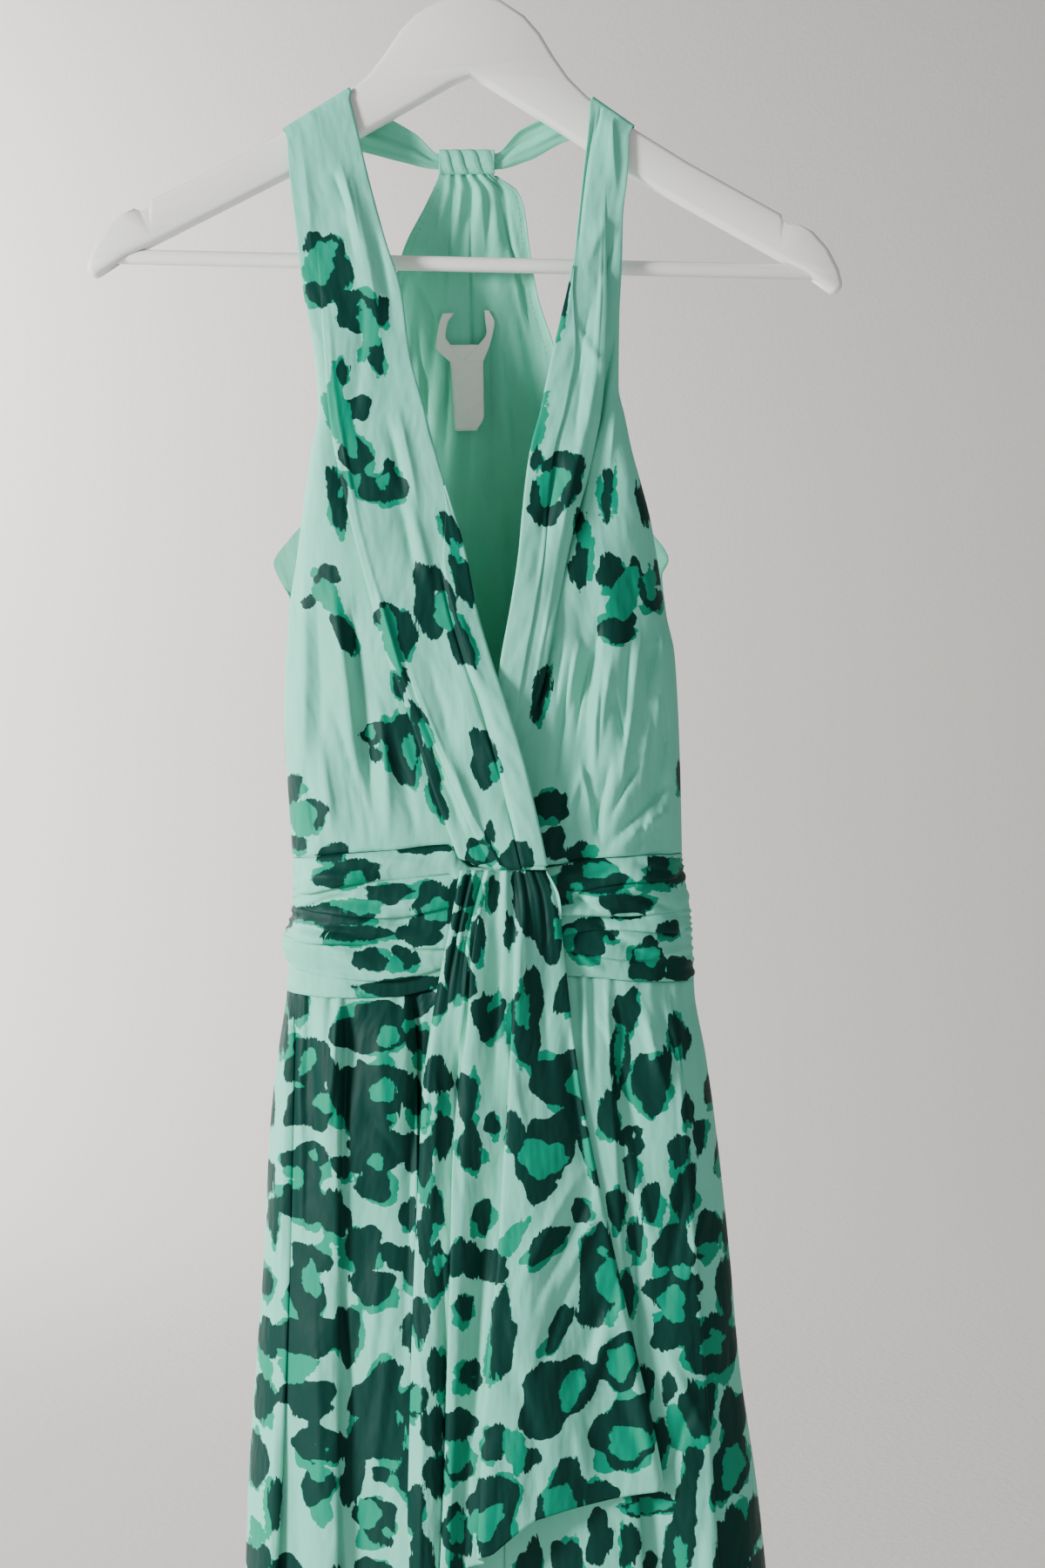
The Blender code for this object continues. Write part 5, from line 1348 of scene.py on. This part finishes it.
LEFT_SKIRT_CREASES = crease_set(
    (-28, -598, -31, -770, 4.5, -6.5), (-72, -634, -78, -720, 2.6, 3.2), (-66, -634, -70, -740, 4, -2.8),
    (-50, -640, -44, -740, 5, 2.2), (-86, -640, -84, -760, 4, -2.4), (-94, -650, -92, -800, 3, 2.6),
    (-60, -690, -34, -730, 4, -2), (-75, -760, -60, -900, 6, -2.6), (-46, -760, -58, -880, 4, 2.4),
    (-30, -700, -36, -860, 4, -2.6), (-40, -800, -56, -930, 6, 2.6), (-84, -800, -80, -930, 5, 2.2),
    (-104, -760, -108, -900, 4, -2.8), (-98, -860, -90, -1000, 7, -2.6), (-70, -900, -64, -980, 4, 2.6),
    (-50, -960, -40, -1100, 8, 2.6), (-80, -1000, -74, -1150, 8, -2.8), (-110, -980, -112, -1140, 6, 2.4),
)
RIGHT_SKIRT_CREASES = crease_set(
    (70, -640, 100, -730, 5, -2.6), (95, -634, 114, -700, 3, 3), (104, -632, 126, -700, 3, -2.8),
    (116, -640, 128, -760, 4, 2.4), (80, -690, 108, -790, 5, 2.6), (90, -740, 96, -860, 4, -2.8),
    (124, -720, 104, -830, 5, -2.6), (138, -740, 118, -800, 3, 2.4), (104, -820, 144, -900, 5, 2.8),
    (128, -850, 108, -900, 4, -2.6), (146, -800, 150, -930, 4, -2.6), (130, -900, 120, -1040, 7, -2.8),
    (90, -940, 104, -1100, 7, 2.8), (150, -940, 158, -1120, 6, 2.6),
)


# ------------------------------------------------------------------ the waistband and the drape
@dataclass(frozen=True)
class FrontHalf:
    """What a half of the waistband or of the skirt's front has: a side seam and the centre seam."""

    side: str  # the viewer's left or right
    creases: Creases
    spots: Print

    @property
    def inwards(self) -> float:
        """The sign along x of the way from the side seam to the centre."""
        return 1.0 if self.side == "left" else -1.0

    @property
    def middle(self) -> float:
        """x of the half's edge at the centre seam."""
        return CENTRE_SEAM_X - self.inwards * SEAM / 2


@dataclass(frozen=True)
class WaistbandHalf(FrontHalf):
    """A front half of the ruched waistband: four folds that lap over one another, as clapboard does."""

    wide: float  # flat
    folds: tuple[tuple[float, float], ...]  # how far down each fold is, at the side and at the centre
    knots: tuple[float, ...] = (0, 0.20, 0.42, 0.62, 0.81, 1)
    heights: tuple[float, ...] = (0.00440, 0.00352, 0.00484, 0.00374)
    lip: float = 0.0022

    def surface(self, u: Array, v: Array) -> Point:
        """From the side (0) to the centre seam (1), from the top (0) down (1)."""
        sway = 0.016 * wave(1.3 * u + 0.2)
        lines = [between(ends, u) + sway * (1 - 2 * (i % 2)) for i, ends in enumerate(self.folds)]
        turned = np.interp(u, (0, 0.03, 0.09, 0.18, 0.30, 1), (0, 0.005, 0.03, 0.10, 0.22, 1))
        x = between((at(BODY, self.side, BACK_WAIST[0]), self.middle), turned)
        z = between((at(BAND, "top", x), at(BAND, "low", x)), across(v, self.knots, (0, *lines, 1)))
        side_x = at(BODY, self.side, z)
        x = between((side_x, self.middle), turned)
        depth = rounded(np.abs(x - side_x), WAIST_ROUND, 0, at(BODY, "front", z))
        inwards = ramp(turned / 0.10)
        hidden = 1 - ramp((np.abs(x - self.middle) - 0.022) / 0.012)
        for i, (place, height) in enumerate(zip(self.knots[1:-1], self.heights)):
            lap = Lap(place, 0.055, height, self.lip, -1)
            strong = inwards * (0.62 + 0.38 * wave((1.1 + 0.2 * i) * u + 0.41 * i + 0.1)) * (1 - 0.6 * hidden)
            depth = depth + lap.lift(v, place - self.knots[i] + 0.02) * strong
            z = z - lap.slide(v) * strong
        depth = depth + 0.0014 * np.sin(math.pi * np.clip(v / 0.2, 0, 1)) * inwards
        gathers = wave(10 * v + 0.6 * wave(2 * v) + u)
        depth = depth + 0.0011 * gathers * ramp((0.2 - u) / 0.15) * ramp(u / 0.02)
        calm = np.minimum.reduce([np.abs(v - place) for place in self.knots[1:-1]])
        shown = inwards * inside(v, 0.05) * (0.25 + 0.75 * ramp(calm / 0.05))
        depth = depth + 1.4 * self.creases.lift(x, z) * shown
        puckers = wave(13 * v + 0.5 * wave(1.6 * v)) * inside(v, 0.06)
        return x - 0.0008 * self.inwards * puckers * (1 - ramp(turned / 0.07)), -depth - SEAM / 2, z

    def build(self, tailor: Tailor) -> None:
        """Make the half."""
        cut = Sheet(f"waistband_front_{self.side}", (self.wide, 0.098), "gathered", (f"{self.side}_front",))
        rows = dense(0.022, self.knots[1:-1], 0.035, 3.0)
        tailor.sheet(f"{self.side}_waistband", self.surface, dense(0.0105), rows, cut, self.spots.chart)


class WaistbandBack:
    """The waistband's back, ruched as the front is and plainer."""

    knots = (0, 0.27, 0.52, 0.77, 1)
    heights = (0.00260, 0.00208, 0.00247)
    spots = Scatter(23, 0.034, 0.022)

    def surface(self, u: Array, v: Array) -> Point:
        """From the left side (0) to the right (1), from the top (0) down (1)."""
        lines = (0.24 + 0.05 * wave(0.5 * u), 0.50 - 0.06 * wave(0.6 * u), 0.76 + 0.03 * wave(0.9 * u))
        share = across(v, self.knots, (0, *lines, 1))
        z = between((between(BACK_WAIST, u), between(BACK_BAND_LOW, u)), share)
        x, distance = all_round(u, BODY, z)
        depth = rounded(distance, WAIST_ROUND, 0, at(BODY, "back", z))
        inwards = ramp(distance / 0.014)
        for i, (place, height) in enumerate(zip(self.knots[1:-1], self.heights)):
            lap = Lap(place, 0.06, height, 0.0014, -1)
            strong = inwards * (0.75 + 0.25 * wave(1.3 * u + 0.4 * i))
            depth = depth + lap.lift(v, place - self.knots[i] + 0.02) * strong
            z = z - lap.slide(v) * strong
        return x, depth + 0.0005 * wave(31 * u + 1.5 * v) * inwards + SEAM / 2, z

    def build(self, tailor: Tailor) -> None:
        """Make the back."""
        cut = Sheet("waistband_back", (0.235, 0.0915), "gathered", ("racer_back",))
        columns, rows = dense(0.0095, (0.0, 1.0), 0.02, 3), dense(0.034, self.knots[1:-1], 0.04, 3)
        tailor.sheet("back_waistband", self.surface, columns, rows, cut, self.spots.chart, facing=1.0)


class Drape:
    """The drape that falls from the wrap, gathered at its top, in three long folds."""

    knots = (0, 0.30, 0.52, 1)
    laps = (Lap(0.33, 0.05, 0.0062, 0.0042), Lap(0.55, 0.05, 0.0068, 0.0046))
    reaches = (0.19, 0.42)
    creases = crease_set(
        (64, -724, 24, -800, 4, 3.4), (70, -735, 32, -812, 3.4, -3.4), (76, -742, 46, -806, 3.4, 2.8),
        (62, -770, 36, -850, 4, -2.8), (86, -796, 52, -880, 5, 3), (78, -790, 60, -850, 3.6, -2.6),
        (88, -760, 76, -830, 4, -2.6), (40, -580, 44, -690, 5, -2.6), (30, -575, 26, -660, 4, 2.4),
        (52, -640, 70, -760, 4, -3.6), (20, -570, 12, -700, 4, -2.6), (16, -640, 34, -720, 5, 2),
        (2, -575, -6, -680, 3, 2.4), (-4, -640, -6, -780, 3, -2.6), (-16, -650, -20, -780, 4, 2.4),
        (20, -820, 46, -900, 5, -2.6), (-11, -755, -14, -990, 2.4, -3.4), (-20, -600, -24, -720, 3, 2.2),
        (-24, -800, -26, -990, 4, 2.6), (10, -740, 2, -900, 4, -3), (16, -860, 8, -960, 5, 2.4),
        (82, -840, 100, -905, 4, -3), (60, -860, 66, -905, 4, 2.4), (36, -870, 38, -940, 5, -2.4),
    )

    def surface(self, u: Array, v: Array) -> Point:
        """From the gathered top (0) to the slanting hem (1), left to right."""
        z = between((DRAPE_TOP_Z, at(DRAPE_HEM, "z", u)), v)
        x = across(u, self.knots, [at(DRAPE, name, z) for name in ("left", "fold_1", "fold_2", "right")])
        depth = at(BODY, "front", z) + DRAPE_OFF + 0.0030 * below(z, -0.72, 0.2)
        opened = below(z, -0.57, 0.05)
        depth = depth + 0.0010 * ramp(u / 0.06) * (1 - ramp((u - 0.06) / 0.22)) * opened
        for lap, reach in zip(self.laps, self.reaches):
            depth = depth + lap.lift(u, reach) * opened
            x = x + lap.slide(u) * opened * (0.6 + 0.4 * below(z, -0.62, 0.1))
        gathers = (wave(7 * u) + 0.5 * wave(13 * u + 0.2)) * (1 - 0.6 * ramp((u - 0.5) / 0.1))
        depth = depth + 0.0014 * gathers * above(z, -0.66, 0.08)
        depth = depth + 0.0035 * wave(2.2 * u - 0.16) * below(z, -0.68, 0.2) * ramp(u / 0.1)
        depth = depth + self.creases.lift(x, z) * inside(u, 0.06)
        curl = np.clip((u - 0.955) / 0.045, 0, 1) * below(z, -0.575, 0.03)
        depth = depth - 0.0042 * ramp(curl) - 0.0015 * np.clip((0.03 - u) / 0.03, 0, 1)
        return x - 0.0040 * curl**2, -depth, z

    def build(self, tailor: Tailor) -> None:
        """Make the drape."""
        cut = Sheet("centre_drape", (0.175, 0.48), "hung", ("left_waistband", "right_waistband"), 0.0520)
        columns = dense(0.0135, [lap.place for lap in self.laps] + [1.0], 0.04, 3)
        tailor.sheet("hanging_drape", self.surface, columns, np.linspace(0, 1, 230), cut, DRAPE_PRINT.chart)


# ------------------------------------------------------------------ the skirt
def hem_fold(z: Array, v: Array) -> Array:
    """How far a skirt stands out from its form: tucked behind the band, and double at the turned hem."""
    return 0.0005 * below(z, HEM_Z + HEM_TURN, 0.0012) - 0.0004 - 0.0013 * (1 - ramp(v / 0.005))


@dataclass(frozen=True)
class SkirtFront(FrontHalf):
    """A side front of the skirt, pleated under the waistband, from its side seam to the centre."""

    wide: float  # flat
    pleats: tuple[Vector, ...]  # x at the band, x at the hem, height
    knots: tuple[float, ...]
    waves: int
    uneven: float  # where the gathers' strength starts, in turns
    seed: int

    def lines(self, z: Array) -> list[Array]:
        """The side seam, its rounding, the pleat edges and the centre seam at each height."""
        side = at(BODY, self.side, z)
        fall = (z - SKIRT_TOP_Z) / (HEM_Z - SKIRT_TOP_Z)
        edges = [between(edge[:2], fall) for edge in self.pleats]
        step = edges[0] - side
        return [side, side + 0.04 * step, side + 0.4 * step, *edges, self.middle + 0 * z]

    def laps(self) -> list[tuple[Lap, float]]:
        """Each pleat's lap, and how far its raised side reaches."""
        stops = self.knots[-len(self.pleats) - 1 :]
        laps = [
            Lap(stop + 0.0175, 0.035, edge[2], 0.0038, -self.inwards)
            for stop, edge in zip(stops, self.pleats)
        ]
        if self.side == "left":
            return [(lap, lap.place - 0.03 - before) for lap, before in zip(laps, (0, *stops))]
        return [(lap, after - 0.01 - lap.place) for lap, after in zip(laps, stops[1:])]

    def surface(self, u: Array, v: Array) -> Point:
        """From the side seam (0) to the centre seam (1), from the band (0) to the hem (1)."""
        top_x = across(u, self.knots, self.lines(SKIRT_TOP_Z + 0 * u))
        z = between((at(BAND, "low", top_x) + 0.0010, HEM_Z), v)
        lines = self.lines(z)
        x = across(u, self.knots, lines)
        depth = rounded(np.abs(x - lines[0]), SKIRT_ROUND, 0, at(BODY, "front", z))
        grown = (1 + 1.2 * below(z, -0.80, 0.30)) * below(z, -0.628, 0.03)
        for i, (lap, reach) in enumerate(self.laps()):
            soft = 0.55 + 0.45 * wave(0.5 + 0.31 * i + (z + 0.63) / 0.7)
            depth = depth + lap.lift(u, reach) * grown
            x = x + self.inwards * lap.slide(u) * soft * below(z, -0.628, 0.04)
        covered = ramp((0.88 - u) / 0.10) * ramp(u / 0.05)
        uneven = 0.55 + 0.45 * wave(1.7 * u + self.uneven)
        gathers = 0.0013 * uneven * (wave(self.waves * u) + 0.5 * wave(1.7 * self.waves * u + 0.3))
        flutes = 0.0050 * wave(1.5 * u + 0.1) * below(z, -0.78, 0.35)
        depth = depth + (gathers * above(z, -0.72, 0.09) + flutes + self.creases.lift(x, z)) * covered
        return x, -depth - SEAM / 2 - hem_fold(z, v), z

    def chart(self, x: Array, z: Array, s: Array, t: Array) -> Fields:
        """Charted spots on the upper part, and scattered ones below."""
        fields = self.spots.fields(x, z), Scatter(self.seed, 0.030, 0.044, 0.0, 0.33, 0.34).fields(s, t)
        return tuple(np.maximum(charted, scattered) for charted, scattered in zip(*fields))

    def build(self, tailor: Tailor) -> None:
        """Make the side front."""
        columns = dense(0.0125, [0.0, *(lap.place for lap, _ in self.laps())], 0.03, 4)
        rows = dense(0.0042, (1 - HEM_SHARE,), 0.004, 4)
        cut = Sheet(f"skirt_front_{self.side}", (self.wide, 0.57), "hung", (f"{self.side}_waistband",))
        tailor.sheet(f"{self.side}_skirt", self.surface, columns, rows, cut, self.chart)


class SkirtBack:
    """The skirt's back, gathered under the waistband and fluted to the hem."""

    side = "back"
    spots = Scatter(61, 0.031, 0.044)
    creases = crease_set(
        (-60, -640, -40, -790, 5, -3), (-44, -640, -20, -780, 5, 2.6), (20, -640, 44, -800, 6, 3),
        (34, -650, 66, -790, 5, -2.6), (90, -650, 60, -820, 6, -3), (-90, -700, -60, -860, 7, 2.8),
        (-80, -660, -96, -800, 5, -2.4), (0, -740, -30, -920, 7, -3), (8, -640, -4, -740, 4, 2.2),
        (110, -780, 80, -960, 8, 3), (-30, -880, 10, -1060, 9, 3.2), (50, -880, 90, -1080, 9, -3.2),
        (-110, -880, -90, -1080, 9, -3), (140, -900, 130, -1100, 8, 2.8),
    )

    def surface(self, u: Array, v: Array) -> Point:
        """From the left side (0) to the right (1), from the band (0) to the hem (1)."""
        z = between((between(BACK_BAND_LOW, u) + 0.0010, HEM_Z), v)
        x, distance = all_round(u, BODY, z)
        depth = rounded(distance, SKIRT_ROUND, 0, at(BODY, "back", z))
        gathers = 0.0013 * (wave(11 * u) + 0.5 * wave(27 * u + 0.2)) * above(z, -0.74, 0.09)
        flutes = 0.0075 * np.sin(2 * math.pi * 4.5 * u + 0.6) * below(z, -0.66, 0.45)
        depth = depth + (gathers + flutes + 1.4 * self.creases.lift(x, z)) * ramp(distance / 0.02)
        return x, depth + SEAM / 2 + hem_fold(z, v), z

    def build(self, tailor: Tailor) -> None:
        """Make the back."""
        cut = Sheet("skirt_back", (0.34, 0.57), "hung", ("back_waistband",))
        columns, rows = dense(0.0085, (0.0, 1.0), 0.02, 3), dense(0.0056, (1 - HEM_SHARE,), 0.004, 4)
        tailor.sheet("back_skirt", self.surface, columns, rows, cut, self.spots.chart, facing=1.0)


# ------------------------------------------------------------------ the sewing
@dataclass(frozen=True)
class Stitching:
    """Rows of short stitches, laid on the cloth one by one."""

    thread: bpy.types.Material
    pitch: float = 0.0034
    long: float = 0.0012
    thick: float = 0.00022

    def row(self, name: str, surface: Surface, u: Array | float, v: Array, out: float) -> None:
        """Sew along a line of a surface.

        Args:
            name: the row's name.
            surface: the cloth's surface.
            u: across, along the line.
            v: down, along the line.
            out: how far the thread lies along Y from the cloth's middle.
        """
        points = np.stack(np.broadcast_arrays(*surface(u + 0 * v, v)), axis=1)
        points[:, 1] += out
        way = np.concatenate([[0], np.cumsum(np.linalg.norm(np.diff(points, axis=0), axis=1))])
        places = np.arange(self.pitch / 2, way[-1], self.pitch)
        middles, ends = (
            np.stack([np.interp(place, way, points[:, i]) for i in range(3)], axis=1)
            for place in (places, places + self.long)
        )
        made = []
        for middle, aim in zip(middles, ends - middles):
            turned = (0, -math.atan2(aim[2], math.hypot(aim[0], aim[1])), math.atan2(aim[1], aim[0]))
            choose()
            bpy.ops.mesh.primitive_uv_sphere_add(
                segments=6, ring_count=4, radius=1.0, location=middle, rotation=turned,
                scale=(self.long, self.thick, self.thick),
            )
            made.append(bpy.context.object)
        row = join(made, name)
        settle(row)
        bpy.ops.object.shade_smooth()
        row.data.materials.append(self.thread)
        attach(row, "root")
        LOG.info("%s: %d stitches", name, len(made))

    def bodice(self) -> None:
        """Sew the armholes' narrow hems on the back's inner side, and the loop's lower edge."""
        v = np.linspace(0.02, 0.50, 60)
        self.row("left_armhole_stitches", Back().surface, 0.055, v, -CLOTH / 2)
        self.row("right_armhole_stitches", Back().surface, 0.945, v, -CLOTH / 2)
        self.row("loop_stitches", Loop().surface, 0.60, np.linspace(0.06, 0.94, 30), -CLOTH / 2)

    def hem(self, skirt: SkirtFront | SkirtBack) -> None:
        """Sew the top of a skirt's turned hem."""
        u = np.linspace(0.01, 0.99, 160)
        v = 1 - HEM_SHARE * (1 - 0.0022 / HEM_TURN) + 0 * u
        out = CLOTH / 2 if skirt.side == "back" else -CLOTH / 2
        self.row(f"{skirt.side}_hem_stitches", skirt.surface, u, v, out)


# ------------------------------------------------------------------ the label and the hanger
@dataclass(frozen=True)
class CareTape:
    """A blank tape behind the neck: two arms sewn to the back, running down into one tail."""

    tape: bpy.types.Material
    top: float = -0.2432
    off: float = 0.0030

    def strip(self, lines: Sizes, u: Array, v: Array) -> Point:
        """One strip of the tape, between its two edges."""
        z = between((lines["z"][-1], lines["z"][0]), v)
        x = between([at(lines, name, z) for name in ("left", "right")], u)
        curl = 0.0006 * wave(9 * (z + 0.25) + 12 * x) - 0.0015 * np.cos(120 * (x + 0.001))
        curl = curl + 0.0012 * (below(z, -0.2738, 0.0009) - below(z, -0.298, 0.014) * ramp(x / 0.004))
        return x, at(BACK, "depth", self.top) - self.off + curl, z

    def build(self, tailor: Tailor) -> None:
        """Make the three strips and join them."""
        cut = Sheet("care_label", (0.034, 0.070), "hung", ("racer_back",), 0.0014, slot="label_tape")
        columns, rows = np.linspace(0, 1, 9), np.linspace(0, 1, 30)
        made = [
            tailor.sheet(name, partial(self.strip, lines), columns, rows, cut, wall=TAPE, finish=self.tape)
            for name, lines in (("care_tape", TAPE_TAIL), ("arm_1", TAPE_ARM_LEFT), ("arm_2", TAPE_ARM_RIGHT))
        ]
        join(made, "care_tape")


@dataclass(frozen=True)
class Hanger:
    """A flat wooden hanger with its trouser bar and its wire hook."""

    wood: bpy.types.Material
    wire: bpy.types.Material
    bar_radius: float = 0.0043
    bar_half: float = 0.2080
    bar_z: float = -0.2178
    wire_radius: float = 0.0018
    ring: float = 0.0218
    dome_z: float = -0.0620
    bore: float = 0.0200

    def build(self) -> None:
        """Make the three pieces."""
        self.body()
        self.bar()
        self.hook()

    def body(self) -> None:
        """The wood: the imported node's copy, merged and shaded smooth on its rounded edges."""
        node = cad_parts["hanger_body"]
        copy = node.copy()
        copy.data = node.data.copy()
        copy.parent = None
        copy.matrix_world = node.matrix_world
        bpy.context.scene.collection.objects.link(copy)
        edit(copy, weld(1e-5))
        self.dress(copy, "wooden_body", 40, self.wood, "hanger_body", "white_wood")

    def bar(self) -> None:
        """The trouser bar: a round rod between the two arms."""
        choose()
        bpy.ops.mesh.primitive_cylinder_add(
            vertices=40, radius=self.bar_radius, depth=2 * self.bar_half, rotation=(0, math.pi / 2, 0)
        )
        bar = bpy.context.object
        bar.location = (SHANK_X, 0, self.bar_z)
        self.tilt(bar)
        apply(bar, "BEVEL", width=0.0006, segments=3, limit_method="ANGLE")
        self.dress(bar, "trouser_bar", 40, self.wood, "hanger_bar", "white_wood")

    def hook(self) -> None:
        """The wire: up the shank, out to the ring and over to its open end."""
        choose()
        bpy.ops.curve.primitive_bezier_curve_add()
        hook = bpy.context.object
        curve = hook.data
        curve.splines.clear()
        curve.dimensions = "3D"
        curve.bevel_depth, curve.bevel_resolution, curve.use_fill_caps = self.wire_radius, 6, True
        points = self.hook_points()
        spline = curve.splines.new("POLY")
        spline.points.add(len(points) - 1)
        for place, point in zip(spline.points, points):
            place.co = (*point, 1)
        choose(hook)
        bpy.ops.object.convert(target="MESH")
        self.tilt(hook)
        edit(hook, weld(1e-6), face_outward)
        self.dress(hook, "wire_hook", 50, self.wire, "hanger_hook", "hook_steel")

    def hook_points(self) -> list[Vector]:
        """The wire's middle line, upright."""
        centre_z, join_turn = self.wire_radius - self.ring, math.radians(-55)
        join_x = self.ring * math.cos(join_turn)
        join_z = centre_z + self.ring * math.sin(join_turn)
        bend = (join_x - SHANK_X) / (1 - math.cos(-join_turn))
        start_z = join_z - bend * math.sin(-join_turn)
        points = [(SHANK_X, 0, self.dome_z - self.bore + SEAM), (SHANK_X, 0, start_z)]
        for i in range(1, 15):
            turn = -join_turn * i / 14
            points.append((SHANK_X + bend * (1 - math.cos(turn)), 0, start_z + bend * math.sin(turn)))
        for i in range(1, 61):
            turn = join_turn + (math.radians(200) - join_turn) * i / 60
            points.append((self.ring * math.cos(turn), 0, centre_z + self.ring * math.sin(turn)))
        return points

    @staticmethod
    def tilt(obj: bpy.types.Object) -> None:
        """Tilt a piece about the hook's top and leave its place in its mesh."""
        settle(obj)
        obj.rotation_euler = (0, HANGER_TILT, 0)
        settle(obj)

    @staticmethod
    def dress(
        obj: bpy.types.Object, name: str, smooth: float, finish: bpy.types.Material, node: str, slot: str
    ) -> None:
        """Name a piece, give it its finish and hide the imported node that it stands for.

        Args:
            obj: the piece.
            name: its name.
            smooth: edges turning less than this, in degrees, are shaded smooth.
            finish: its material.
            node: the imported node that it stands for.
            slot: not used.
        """
        choose(obj)
        bpy.ops.object.shade_smooth_by_angle(angle=math.radians(smooth))
        obj.name = name
        obj.data.materials.clear()
        obj.data.materials.append(finish)
        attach(obj, "root")
        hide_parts(node)
        LOG.info("%s: %d faces", obj.name, len(obj.data.polygons))


# ------------------------------------------------------------------ the studio
@dataclass(frozen=True)
class Studio:
    """A pale floor, soft lights and the camera."""

    floor_z: float = -1.45
    camera_at: Vector = (0.030, -1.45, -0.516)
    lens: float = 58.0

    def build(self) -> None:
        """Set everything up."""
        self.room()
        self.light("key", (-1.98, -1.08, -0.14), (0.03, 0.0, -0.58), 0.6, 92.0)
        self.light("fill", (1.6, -2.4, -0.3), (0.03, 0.0, -0.55), 2.0, 8.0)
        self.light("rear", (-2.1, 1.25, 0.1), (0.03, 0.0, -0.6), 0.9, 34.0)
        self.light("wash", (-3.0, 3.2, 0.9), (-1.9, 5.0, -0.3), 1.4, 235.0)
        world = bpy.data.worlds.new("pale_room")
        bpy.context.scene.world = world
        world.use_nodes = True
        background = world.node_tree.nodes["Background"]
        background.inputs["Color"].default_value = srgb(214, 214, 214)
        background.inputs["Strength"].default_value = 0.43
        bpy.ops.object.camera_add(location=self.camera_at, rotation=(math.pi / 2, 0, 0))
        camera = bpy.context.object
        camera.data.lens, camera.data.sensor_width = self.lens, 36.0
        bpy.context.scene.camera = camera

    def room(self) -> None:
        """A pale floor that turns up into a far wall, with a rounded corner."""
        choose()
        bpy.ops.mesh.primitive_plane_add(size=12, location=(0, -1.0, self.floor_z))
        room = bpy.context.object
        room.name = "pale_room"
        edit(room, partial(bpy.ops.mesh.select_all, action="DESELECT"))
        for edge in room.data.edges:
            edge.select = all(room.data.vertices[i].co.y > 5.9 for i in edge.vertices)
        bpy.ops.object.mode_set(mode="EDIT")
        bpy.ops.mesh.extrude_region_move(TRANSFORM_OT_translate={"value": (0, 0, 7)})
        bpy.ops.object.mode_set(mode="OBJECT")
        apply(room, "BEVEL", width=1.2, segments=12, affect="EDGES")
        bpy.ops.object.shade_smooth()
        room.data.materials.append(pale_wall())

    @staticmethod
    def light(name: str, place: Vector, target: Vector, size: float, power: float) -> None:
        """Add a soft round lamp.

        Args:
            name: its name.
            place: where it stands.
            target: what it points at.
            size: its diameter.
            power: its power in watts.
        """
        towards = np.array(target) - np.array(place)
        flat = math.hypot(towards[0], towards[1])
        turned = (math.atan2(flat, -towards[2]), 0, math.atan2(towards[1], towards[0]) - math.pi / 2)
        bpy.ops.object.light_add(type="AREA", location=place, rotation=turned)
        lamp = bpy.context.object
        lamp.name = name
        lamp.data.shape, lamp.data.size, lamp.data.energy = "DISK", size, power


def lower_half() -> tuple[list, list]:
    """The waistband's pieces and the skirt's, in the order of making."""
    band = [
        WaistbandHalf(
            "left", LEFT_BAND_CREASES, LEFT_BAND_PRINT, 0.137,
            ((0.26, 0.16), (0.38, 0.48), (0.56, 0.76), (0.82, 0.90)),
        ),
        WaistbandHalf(
            "right", RIGHT_BAND_CREASES, RIGHT_BAND_PRINT, 0.109,
            ((0.14, 0.34), (0.46, 0.44), (0.58, 0.62), (0.84, 0.76)),
        ),
        WaistbandBack(),
    ]
    skirt = [
        SkirtFront(
            "left", LEFT_SKIRT_CREASES, LEFT_SKIRT_PRINT, 0.204,
            ((-0.1008, -0.1150, 0.0048), (-0.0720, -0.0800, 0.0056), (-0.0345, -0.0200, 0.0062)),
            (0, 0.02, 0.08, 0.16, 0.42, 0.72, 1), waves=10, uneven=0.75, seed=71,
        ),
        SkirtFront(
            "right", RIGHT_SKIRT_CREASES, RIGHT_SKIRT_PRINT, 0.190,
            ((0.1150, 0.1560, 0.0052), (0.0800, 0.1080, 0.0046)),
            (0, 0.02, 0.06, 0.14, 0.44, 1), waves=9, uneven=0.2, seed=83,
        ),
        SkirtBack(),
    ]
    return band, skirt


def main() -> None:
    """Build the dress, its hanger and the studio, in order."""
    tailor = Tailor(Satin(printed=True).material(), Satin(printed=False).material())
    Studio().build()
    Hanger(white_paint(), plated_wire()).build()
    for piece in (FrontUnder(), FrontOver(), Back(), Loop()):
        piece.build(tailor)
    sewing = Stitching(sewing_thread())
    sewing.bodice()
    CareTape(woven_tape()).build(tailor)
    band, skirts = lower_half()
    for piece in (*band, Drape()):
        piece.build(tailor)
    for skirt in skirts:
        skirt.build(tailor)
        sewing.hem(skirt)


if __name__ == "__main__":
    main()
